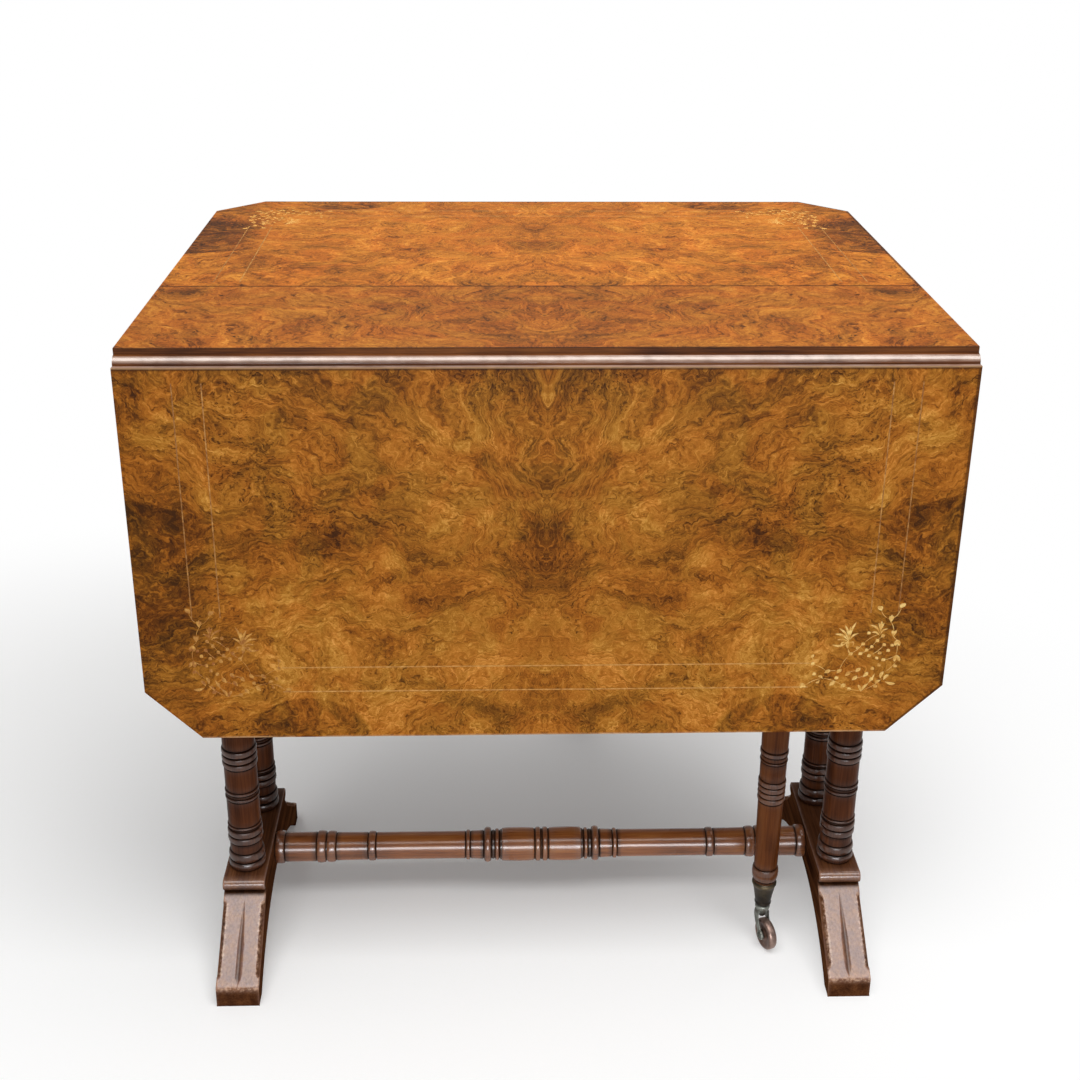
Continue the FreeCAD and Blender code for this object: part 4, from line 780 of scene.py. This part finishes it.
def burr_finish(name, turn, shift, heart, seed, codes, gloss, sheet_of):
    """Polished burr walnut. turn and shift lay the sheet in the pattern's own plane, u across from the
    book-match line and v down the leaf. Noise of 180, 42, 15 and 6 mm pushes the plane about. Around the
    heart, at v = heart, the fibres are streaks 46 waves to the metre outwards and 78 to the radian round,
    with finer fibres, loops and flames, and crowds of eyes about 5 mm apart. Clouds of 140 mm, blotches of
    42 mm and a grain of 5 mm vary the tone."""
    finish, put, shader = new_finish(name)
    sheet = put("Mapping", put("TexCoord", out="Object"), shift, turn)
    down = put("SeparateXYZ", sheet, out=1)
    aside = put("SeparateXYZ", sheet)
    across = put("Math", aside, operation="ABSOLUTE")
    drift = put("Math", put("TexNoise", sheet, Scale=9.0, Detail=2.0), 0.02, across, operation="MULTIPLY_ADD")
    plain = put("CombineXYZ", drift, down, seed)
    curled = plain
    for scale, push in BURR_PUSHES:
        ripple = put("TexNoise", plain, Scale=scale, Detail=2.0, out="Color")
        ripple = put("VectorMath", ripple, (0.5, 0.5, 0.5), operation="SUBTRACT")
        bent, curled = curled, put("VectorMath", ripple, (push, push, push), curled, operation="MULTIPLY_ADD")
    outward = put("VectorMath", curled, (0.0, heart, seed), operation="SUBTRACT")
    waves = put("VectorMath", outward, (46.0, 46.0, 0.0), operation="MULTIPLY")
    reach = put("VectorMath", waves, operation="LENGTH", out="Value")
    bearing = put("Math", put("SeparateXYZ", outward, out=1), put("SeparateXYZ", outward),
                  operation="ARCTAN2")
    rays = put("CombineXYZ", reach, put("Math", bearing, 78.0, operation="MULTIPLY"), seed)
    streak = put("TexNoise", rays, Scale=1.0, Detail=3.0, Roughness=0.62)
    finer = put("VectorMath", rays, (2.6, 3.0, 1.0), operation="MULTIPLY")
    fibre = put("TexNoise", finer, Scale=1.0, Detail=2.0, Roughness=0.6)
    blotch = put("TexNoise", bent, Scale=24.0, Detail=3.0, Roughness=0.6)
    grain = put("TexNoise", curled, Scale=185.0, Detail=3.0, Roughness=0.65)
    cloud = put("TexNoise", plain, Scale=7.0, Detail=2.0, Distortion=0.6)
    swirl = put("Math", put("TexNoise", bent, Scale=17.0, Detail=3.0), 95.0, operation="MULTIPLY")
    loops = put("TexNoise", noise_dimensions="1D", W=swirl, Scale=1.0, Detail=2.0)
    crowd = put("MapRange", put("TexNoise", plain, Scale=9.0, Detail=3.0, Roughness=0.6), 0.52, 0.66)
    knots = put("TexVoronoi", curled, Scale=205.0)
    eyes = put("Math", put("MapRange", knots, 0.08, 0.40, 1.0, 0.0), crowd, operation="MULTIPLY")
    cracks = put("MapRange", streak, 0.30, 0.43, 1.0, 0.0, interpolation_type="SMOOTHSTEP")
    if sheet_of == "top":
        tone = put("MapRange", across, 0.062, 0.066, -1.325, -1.255)
    else:
        tone = pieced_tone(put, aside, across, down, blotch, sheet_of == "hanging")
        tone = put("Math", tone, 1.265, operation="SUBTRACT")
    wide_rays = put("VectorMath", rays, (0.42, 0.30, 1.0), operation="MULTIPLY")
    flame = put("TexNoise", wide_rays, Scale=1.0, Detail=1.0)
    flame = put("MapRange", flame, 0.52, 0.60, interpolation_type="SMOOTHSTEP")
    for figure, share in ((streak, 0.74), (fibre, 0.60), (blotch, 0.72), (cloud, 0.52), (loops, 0.16),
                          (cracks, -0.12), (eyes, -0.40), (flame, 0.10), (grain, 0.74)):
        tone = put("Math", figure, share, tone, operation="MULTIPLY_ADD")
    burr = put("ValToRGB", tone, stops=tuple(zip(BURR_STEPS, codes)))
    hue = put("TexNoise", bent, Scale=26.0, Detail=3.0)
    hue = put("ValToRGB", hue, stops=((0.38, "#fafff5"), (0.62, "#fff1e1")))
    burr = put("MixRGB", 1.0, burr, hue, blend_type="MULTIPLY")
    if sheet_of != "top":
        burr = shaded_and_pale_rim(put, burr, across, down, blotch, sheet_of == "hanging")
    if sheet_of != "hanging":
        burr = put("MixRGB", soiled_joint(put, down, sheet_of), burr, linear(SOIL_AND_EDGE_SHADE))
    fill(shader, {"Base Color": burr, "Roughness": put("MapRange", streak, 0.3, 0.7, 0.42, 0.34),
                  "Normal": put("Bump", Height=streak, Strength=0.05, Distance=0.0005),
                  "Specular IOR Level": gloss})
    return finish


hanging_burr = burr_finish("burr_walnut_hanging_leaf", UPRIGHT, (-VENEER_AXIS, LEAF_PIN_HEIGHT, 0),
                           LEAF_HEART, seed=3.7, codes=LEAF_BURR, gloss=0.05, sheet_of="hanging")
raised_burr = burr_finish("burr_walnut_raised_leaf", LEVEL, (-VENEER_AXIS, -REAR_PIN_Y, 0),
                          LEAF_HEART, seed=8.2, codes=RAISED_BURR, gloss=0.08, sheet_of="raised")
top_burr = burr_finish("burr_walnut_fixed_top", LEVEL, (-VENEER_AXIS, -TOP_MIDDLE_Y, 0),
                       TOP_HEART, seed=12.9, codes=TOP_BURR, gloss=0.08, sheet_of="top")
lay_finish(hanging_burr, "front_leaf_veneer")
lay_finish(raised_burr, "rear_leaf_veneer")
lay_finish(top_burr, "top_veneer")

# Stringing and corner sprays
# Boxwood lines let into a scratched groove round each leaf, and flower sprays of boxwood sawn and laid at the
# corners. The boxwood has yellowed under the polish and is scraped flush, so only a hair of it stands proud.
LEAF_FACE_FRONT = -293.85
LEAF_PIN_FRONT = 723.5
LEAF_PIN_REAR = -68.35
LEAF_FACE_REAR = 738.0
PETAL_ROWS = 7
PETAL_CROWN = 0.12
PETAL_RIM = -0.05
PETAL_FLOOR = -0.20
STRING_CODES = ("#865420", "#c08a43", "#d9aa62")
HANGING_SPRAY_CODES = ("#9a5c1f", "#d39b45", "#f4d07e")
RAISED_SPRAY_CODES = ("#a8691f", "#d09643", "#ecc070")
STRING_BROWNING = (0.28, 0.35, 0.04, -0.22)
HANGING_BROWNING = (-0.30, 0.28, -0.16, 0.12)
RAISED_BROWNING = (0.1, 0.4, 0.0, 0.0)
# Each petal is (across, down, across, down, width, sway) in mm, from base to tip. Across is from the middle
# of the leaf, and down is from its pin line.
SPRAY_PETALS = np.array((
    (311.0, 300.3, 296.0, 292.4, 3.6, 2.7), (310.5, 300.8, 299.1, 299.3, 2.8, 1.4),
    (310.5, 301.4, 294.0, 304.9, 3.4, -3.1), (311.0, 299.8, 300.2, 285.6, 3.4, 2.0),
    (311.3, 299.4, 306.0, 281.9, 3.4, 1.4), (311.6, 299.4, 311.7, 283.6, 3.1, 0.3),
    (312.0, 299.6, 317.6, 278.3, 3.4, -1.7), (312.3, 300.3, 321.0, 291.4, 3.1, -2.0),
    (310.5, 302.4, 303.9, 308.2, 2.8, 3.7), (312.1, 302.4, 316.4, 306.3, 2.6, -3.1),
    (311.0, 298.4, 311.2, 309.6, 5.0, 0.5), (311.4, 309.6, 314.7, 315.9, 2.1, 0.6),
    (343.3, 290.4, 340.5, 279.4, 3.8, 1.2), (343.6, 290.4, 343.6, 277.2, 3.8, 0.0),
    (343.8, 290.4, 346.5, 279.6, 3.8, -1.2), (342.9, 292.4, 331.7, 281.9, 3.1, 2.7),
    (342.9, 294.4, 334.1, 290.9, 2.9, 2.1), (343.7, 293.4, 351.0, 286.4, 2.9, -2.1),
    (353.3, 278.9, 351.2, 271.8, 4.6, 0.6), (353.5, 278.9, 355.6, 271.6, 4.6, -0.6),
    (353.3, 279.4, 353.4, 270.2, 4.6, 0.0), (343.0, 265.3, 337.8, 260.5, 6.0, 0.4),
    (342.1, 265.4, 341.5, 259.8, 4.3, 0.4), (361.5, 262.8, 366.6, 257.2, 6.0, -0.4),
    (362.0, 262.8, 363.2, 257.0, 4.3, -0.4), (357.3, 295.8, 355.4, 288.4, 4.6, 0.6),
    (357.5, 295.8, 360.1, 288.2, 4.6, -0.6), (361.5, 299.4, 360.6, 306.8, 5.2, 0.5),
    (361.9, 299.4, 364.8, 306.7, 5.2, -0.5), (361.8, 317.5, 361.6, 325.4, 5.2, 0.5),
    (362.1, 317.5, 366.9, 325.1, 5.2, -0.5), (324.8, 305.7, 328.4, 302.9, 6.0, 0.0),
    (334.4, 308.7, 337.8, 306.6, 6.0, 0.0), (344.6, 296.3, 348.3, 293.7, 6.0, 0.0),
    (347.0, 306.8, 350.3, 304.1, 6.0, 0.0), (351.9, 313.8, 355.1, 310.7, 6.0, 0.0),
    (312.8, 317.3, 316.5, 314.4, 6.0, 0.0), (323.0, 317.0, 326.7, 314.0, 6.0, 0.0),
    (332.3, 319.5, 336.0, 316.9, 6.0, 0.0), (343.0, 316.4, 346.6, 313.8, 6.0, 0.0),
    (347.7, 324.9, 351.2, 321.7, 6.0, 0.0), (289.0, 338.6, 294.5, 334.4, 6.0, 0.3),
    (302.1, 339.1, 306.6, 334.0, 6.0, -0.3), (311.3, 342.2, 315.5, 336.8, 6.0, 0.3),
    (322.0, 337.8, 326.2, 332.7, 6.0, -0.3), (330.3, 343.5, 334.5, 337.6, 6.0, 0.3),
    (295.5, 353.6, 300.2, 348.2, 6.0, 0.3), (307.8, 356.6, 312.4, 351.4, 6.0, -0.3),
    (318.8, 347.6, 323.4, 341.8, 6.0, 0.3), (348.4, 345.4, 350.7, 336.8, 5.0, -0.8),
    (351.7, 347.4, 356.9, 340.8, 5.0, -0.8), (348.8, 347.4, 343.4, 351.8, 4.6, 0.8),
    (353.6, 349.4, 364.8, 351.8, 4.6, 1.2), (329.2, 361.0, 325.6, 353.0, 4.3, 0.6),
    (329.5, 361.0, 335.8, 351.4, 4.3, -0.8), (334.4, 353.0, 341.9, 339.6, 2.4, 1.0),
    (287.8, 345.0, 282.6, 342.0, 4.3, 0.8), (284.5, 347.0, 281.0, 350.6, 3.9, -0.6),
    (270.9, 355.2, 264.2, 351.2, 6.0, 0.4), (269.5, 351.4, 265.3, 356.2, 4.3, 0.4),
    (273.3, 320.1, 276.2, 316.1, 4.6, 0.4), (274.5, 329.2, 277.7, 325.4, 4.6, -0.4),
    (314.7, 315.4, 325.9, 304.7, 1.0, 1.2), (326.4, 304.6, 343.1, 292.4, 1.0, -1.6),
    (336.1, 307.7, 346.3, 295.4, 0.9, -1.0), (324.9, 315.4, 336.1, 307.9, 0.9, 1.0),
    (334.1, 318.2, 348.7, 305.6, 0.9, 1.4), (349.5, 323.3, 361.9, 318.1, 1.0, 1.2),
    (362.1, 318.2, 361.7, 303.4, 1.0, 1.0), (361.4, 299.4, 357.5, 295.0, 1.0, -0.6),
    (357.5, 291.4, 353.3, 278.4, 1.0, 1.0), (353.1, 276.0, 341.6, 264.4, 1.0, -2.0),
    (353.6, 275.6, 362.5, 262.0, 1.0, 2.0), (350.1, 338.9, 363.3, 324.5, 1.0, 1.8),
    (329.4, 360.0, 350.4, 345.4, 1.0, 2.0), (328.7, 360.2, 310.2, 354.2, 1.0, -1.4),
    (310.0, 354.0, 287.0, 344.4, 1.0, 1.6), (286.0, 345.0, 270.3, 353.0, 1.0, 1.4),
    (291.5, 336.8, 276.2, 327.7, 1.0, 1.2), (275.8, 327.0, 274.8, 318.6, 0.9, 0.6),
    (304.2, 336.8, 291.8, 336.9, 0.9, 1.2), (323.8, 335.6, 313.5, 339.4, 0.9, 1.0),
    (332.3, 340.8, 321.4, 344.8, 0.9, -1.0), (314.4, 316.1, 304.4, 335.9, 0.9, 1.6),
    (330.0, 293.0, 332.9, 290.0, 6.0, 0.0), (319.8, 310.2, 322.9, 307.7, 6.0, 0.0),
    (329.6, 312.6, 332.5, 310.2, 6.0, 0.0), (339.7, 301.8, 342.6, 299.0, 6.0, 0.0),
    (355.9, 307.4, 358.2, 304.7, 6.0, 0.0), (340.8, 322.4, 343.6, 320.0, 6.0, 0.0),
    (361.1, 332.1, 363.8, 329.4, 6.0, 0.0), (337.3, 334.7, 340.6, 332.2, 6.0, 0.0),
    (343.8, 330.6, 346.8, 328.2, 6.0, 0.0), (300.2, 346.0, 303.9, 343.0, 6.0, 0.0),
    (336.9, 347.6, 340.6, 344.8, 6.0, 0.0), (314.6, 359.6, 318.3, 356.8, 6.0, 0.0),
    (276.6, 341.0, 280.3, 338.2, 6.0, 0.0), (342.1, 356.4, 345.8, 353.6, 6.0, 0.0),
))


def laid_petals(petals, mirror):
    """Petals as closed lenses, all at once: the centre line runs from base to tip with a sine sway, the half
    width is a sine swelled towards the tip, and across it a point lies on each rim and one on the crown. The
    crown stands a hair proud of the veneer, the rims and the floor lie under it."""
    start = petals[:, None, 0:2]
    run = petals[:, None, 2:4] - start
    over = np.stack([-run[..., 1], run[..., 0]], axis=-1) / np.linalg.norm(run, axis=-1, keepdims=True)
    along = np.linspace(0, 1, PETAL_ROWS)
    swell = np.maximum(np.sin(np.pi * along ** 1.25), 0.02) ** 0.75
    centre = start + run * along[:, None] + over * (petals[:, None, 5:6] * np.sin(np.pi * along)[:, None])
    rib = np.array([-1.0, 0.0, 1.0])
    half = petals[:, None, 4:5] * swell[:, None] / 2
    plane = centre[:, :, None, :] + over[:, :, None, :] * (half * rib)[..., None]
    proud = np.broadcast_to(np.where(rib == 0, PETAL_CROWN, PETAL_RIM), plane.shape[:3])
    sunk = np.full(plane.shape[:3], PETAL_FLOOR)
    top = np.concatenate([plane, proud[..., None]], axis=-1)
    bottom = np.concatenate([plane, sunk[..., None]], axis=-1)
    points = np.concatenate([top, bottom], axis=1) * (mirror, 1, 1)
    side = PETAL_ROWS * len(rib)
    upper = grid_faces(PETAL_ROWS, len(rib))
    lower = upper[:, ::-1] + side
    rim = np.concatenate([np.arange(0, side, 3), [side - 2], np.arange(side - 1, -1, -3), [1]])
    following = np.roll(rim, -1)
    wall = np.column_stack([rim, rim + side, following + side, following])
    faces = np.concatenate([upper, lower, wall])
    faces = faces if mirror < 0 else faces[:, ::-1]
    every = (np.arange(len(petals))[:, None, None] * 2 * side + faces).reshape(-1, 4)
    return points.reshape(-1, 3), every.tolist()


def boxwood_finish(name, codes, browning):
    """Boxwood, a close pale wood with no figure: shaded in hot sand, which leaves a mottle about 4 mm
    across, and browned by the polish. browning is two places across the table and the tone at each, read
    from the middle outwards where the first place is right of the middle, and else from left to right."""
    finish, put, shader = new_finish(name)
    here = put("TexCoord", out="Object")
    mottle = put("TexNoise", here, Scale=250.0, Detail=3.0)
    aside = put("SeparateXYZ", here)
    if browning[0] > 0:
        aside = put("Math", aside, operation="ABSOLUTE")
    shade = put("Math", mottle, put("MapRange", aside, *browning))
    tint = put("ValToRGB", shade, stops=((0.2, codes[0]), (0.8, codes[2]), (0.5, codes[1])))
    fill(shader, {"Base Color": tint, "Roughness": put("MapRange", mottle, 0.3, 0.7, 0.36, 0.46),
                  "Specular IOR Level": 0.2})
    return finish


string_finish = boxwood_finish("browned_boxwood_string", STRING_CODES, STRING_BROWNING)
lay_finish(string_finish, "front_leaf_stringing", "rear_leaf_stringing")
spray_finishes = {
    "front": boxwood_finish("yellowed_boxwood_hanging_spray", HANGING_SPRAY_CODES, HANGING_BROWNING),
    "rear": boxwood_finish("yellowed_boxwood_raised_spray", RAISED_SPRAY_CODES, RAISED_BROWNING),
}
for leaf, finish in spray_finishes.items():
    for side, mirror in (("left", -1), ("right", 1)):
        points, faces = laid_petals(SPRAY_PETALS, mirror)
        across, down, proud = np.transpose(points)
        if leaf == "front":
            placed = np.column_stack([across, LEAF_FACE_FRONT - proud, LEAF_PIN_FRONT - down])
        else:
            placed = np.column_stack([across, LEAF_PIN_REAR + down, LEAF_FACE_REAR + proud])
        make_piece(leaf + "_" + side + "_spray", [(placed, faces, {})], finish, leaf + "_leaf")

# Hinges, pins and screws
# Brass back-flap hinges let into the underside, steel pivot pins, caster axles and flat-headed screws.
# The brass is dull and brown, the steel grey with patches of rust about 4 mm across.
HINGE_CODES = ("#54401f", "#86693a", "#9c8455", "#c9a765")
hinge_finish = old_brass("dull_hinge_brass", HINGE_CODES, rough=0.36)
lay_finish(hinge_finish, *[name for name in nodes if "hinge" in name and "screws" not in name])
steel_finish, put, shader = new_finish("grey_old_steel")
rust = put("TexNoise", put("TexCoord", out="Object"), Scale=240.0, Detail=4.0)
tint = put("ValToRGB", rust, stops=((0.35, "#3c2d24"), (0.7, "#7c7770"), (0.5, "#5c5751")))
fill(shader, {"Base Color": tint, "Roughness": put("MapRange", rust, 0.35, 0.65, 0.6, 0.35), "Metallic": 0.9})
lay_finish(steel_finish, *[name for name in nodes if name.endswith(("screws", "gate_pin", "caster_axle"))])

# Studio
# A white paper floor in a dim even room, lit by a large softbox in front and a small one above; a low one
# only shines in what is polished. The floor is white away from the table, and past 14 m it fades into the
# room. The camera stands where the photograph was taken from.
FLOOR_HALF = 80.0
DIM_RANGE = (14.0, 55.0)
SHADOW_CENTRE = (-0.30, 0.12, 0.0)
SHADOW_REACH = (1.35, 0.85, 1.0)
WHITE_START = 0.38
FLOOR_LIFT = 0.10
ROOM_LIGHT = 0.3
WHITE = "#ffffff"
floor_mesh = bpy.data.meshes.new("studio_floor")
corners = np.array([(-1, -1, 0), (1, -1, 0), (1, 1, 0), (-1, 1, 0)]) * FLOOR_HALF
floor_mesh.from_pydata(corners, [], [(0, 1, 2, 3)])
floor = bpy.data.objects.new("studio_floor", floor_mesh)
bpy.context.scene.collection.objects.link(floor)
paper, put, shader = new_finish("white_studio_paper")
here = put("TexCoord", out="Object")
beside = put("VectorMath", put("VectorMath", here, SHADOW_CENTRE, operation="SUBTRACT"), SHADOW_REACH,
             operation="DIVIDE")
away = put("VectorMath", beside, operation="LENGTH", out="Value")
fade = put("MapRange", away, WHITE_START, 1.0, interpolation_type="SMOOTHSTEP")
fibre = put("TexNoise", here, Scale=300.0, Detail=2.0)
tint = put("ValToRGB", fibre, stops=((0.3, "#f2f2f1"), (0.7, "#f6f6f6")))
fill(shader, {"Base Color": tint, "Roughness": 0.9, "Specular IOR Level": 0.1})
seen = put("Math", put("LightPath", out="Is Camera Ray"), put("LightPath", out="Is Glossy Ray"))
seen = put("Math", seen, put("LightPath", out="Is Transmission Ray"), use_clamp=True)
white = put("Math", seen, fade, operation="MULTIPLY")
lift = put("Emission", linear(WHITE), put("Math", seen, FLOOR_LIFT, operation="MULTIPLY"))
lit = put("AddShader", shader.outputs[0], lift)
far_off = put("VectorMath", here, operation="LENGTH", out="Value")
dimmed = put("MapRange", far_off, *DIM_RANGE, 1.0, ROOM_LIGHT, interpolation_type="SMOOTHSTEP")
glow = put("Emission", linear(WHITE), dimmed)
fill(paper.node_tree.nodes["Material Output"], {"Surface": put("MixShader", white, lit, glow)})
floor_mesh.materials.append(paper)

room = bpy.data.worlds.new("studio_room")
room.use_nodes = True
fill(room.node_tree.nodes["Background"], {"Color": linear(WHITE), "Strength": ROOM_LIGHT})
bpy.context.scene.world = room

# Each softbox: size across and deep in metres, power in watts, place, the point it is aimed at, and whether
# it lights the room or only shines in what is polished.
SOFTBOXES = {"front_softbox": (2.6, 1.6, 62.0, (0.1, -1.25, 2.6), (0.1, -1.0, 0.0), True),
             "top_softbox": (1.6, 0.9, 16.0, (0.2, 0.6, 2.0), (0.0, 0.35, 0.7), True),
             "low_softbox": (2.0, 0.8, 84.0, (0.1, -3.3, 0.7), (0.0, -0.2, 0.35), False)}
PLAIN_LIGHT = (1.0, 1.0, 1.0)
COOL_LIGHT = (0.88, 0.94, 1.0)
for name, (wide, deep, power, place, target, fills) in SOFTBOXES.items():
    lamp = bpy.data.lights.new(name, "AREA")
    lamp.shape = "RECTANGLE"
    lamp.size = wide
    lamp.size_y = deep
    lamp.energy = power
    lamp.color = PLAIN_LIGHT if fills else COOL_LIGHT
    softbox = bpy.data.objects.new(name, lamp)
    softbox.location = place
    softbox.rotation_euler = (Vector(target) - Vector(place)).to_track_quat("-Z", "Y").to_euler()
    softbox.visible_camera = False
    softbox.visible_diffuse = fills
    bpy.context.scene.collection.objects.link(softbox)

CAMERA_PLACE = (-0.05270, -1.60867, 1.18149)
CAMERA_YAW = 0.0329
CAMERA_PITCH = 0.3782
CAMERA_ROLL = 0.0082
SENSOR_WIDTH = 36.0
LENS_LENGTH = 48.81
LENS_SHIFT = -0.10185
ahead = np.array([np.sin(CAMERA_YAW) * np.cos(CAMERA_PITCH), np.cos(CAMERA_YAW) * np.cos(CAMERA_PITCH),
                  -np.sin(CAMERA_PITCH)])
level = np.array([np.cos(CAMERA_YAW), -np.sin(CAMERA_YAW), 0.0])
upward = np.cross(level, ahead)
right = level * np.cos(CAMERA_ROLL) + upward * np.sin(CAMERA_ROLL)
upward = upward * np.cos(CAMERA_ROLL) - level * np.sin(CAMERA_ROLL)
pose = np.eye(4)
pose[:3, :3] = np.column_stack([right, upward, -ahead])
pose[:3, 3] = CAMERA_PLACE
lens = bpy.data.cameras.new("photograph_camera")
lens.sensor_width = SENSOR_WIDTH
lens.lens = LENS_LENGTH
lens.shift_y = LENS_SHIFT
camera = bpy.data.objects.new("photograph_camera", lens)
camera.matrix_world = Matrix(pose.tolist())
bpy.context.scene.collection.objects.link(camera)
bpy.context.scene.camera = camera
bpy.context.scene.view_settings.view_transform = "Standard"
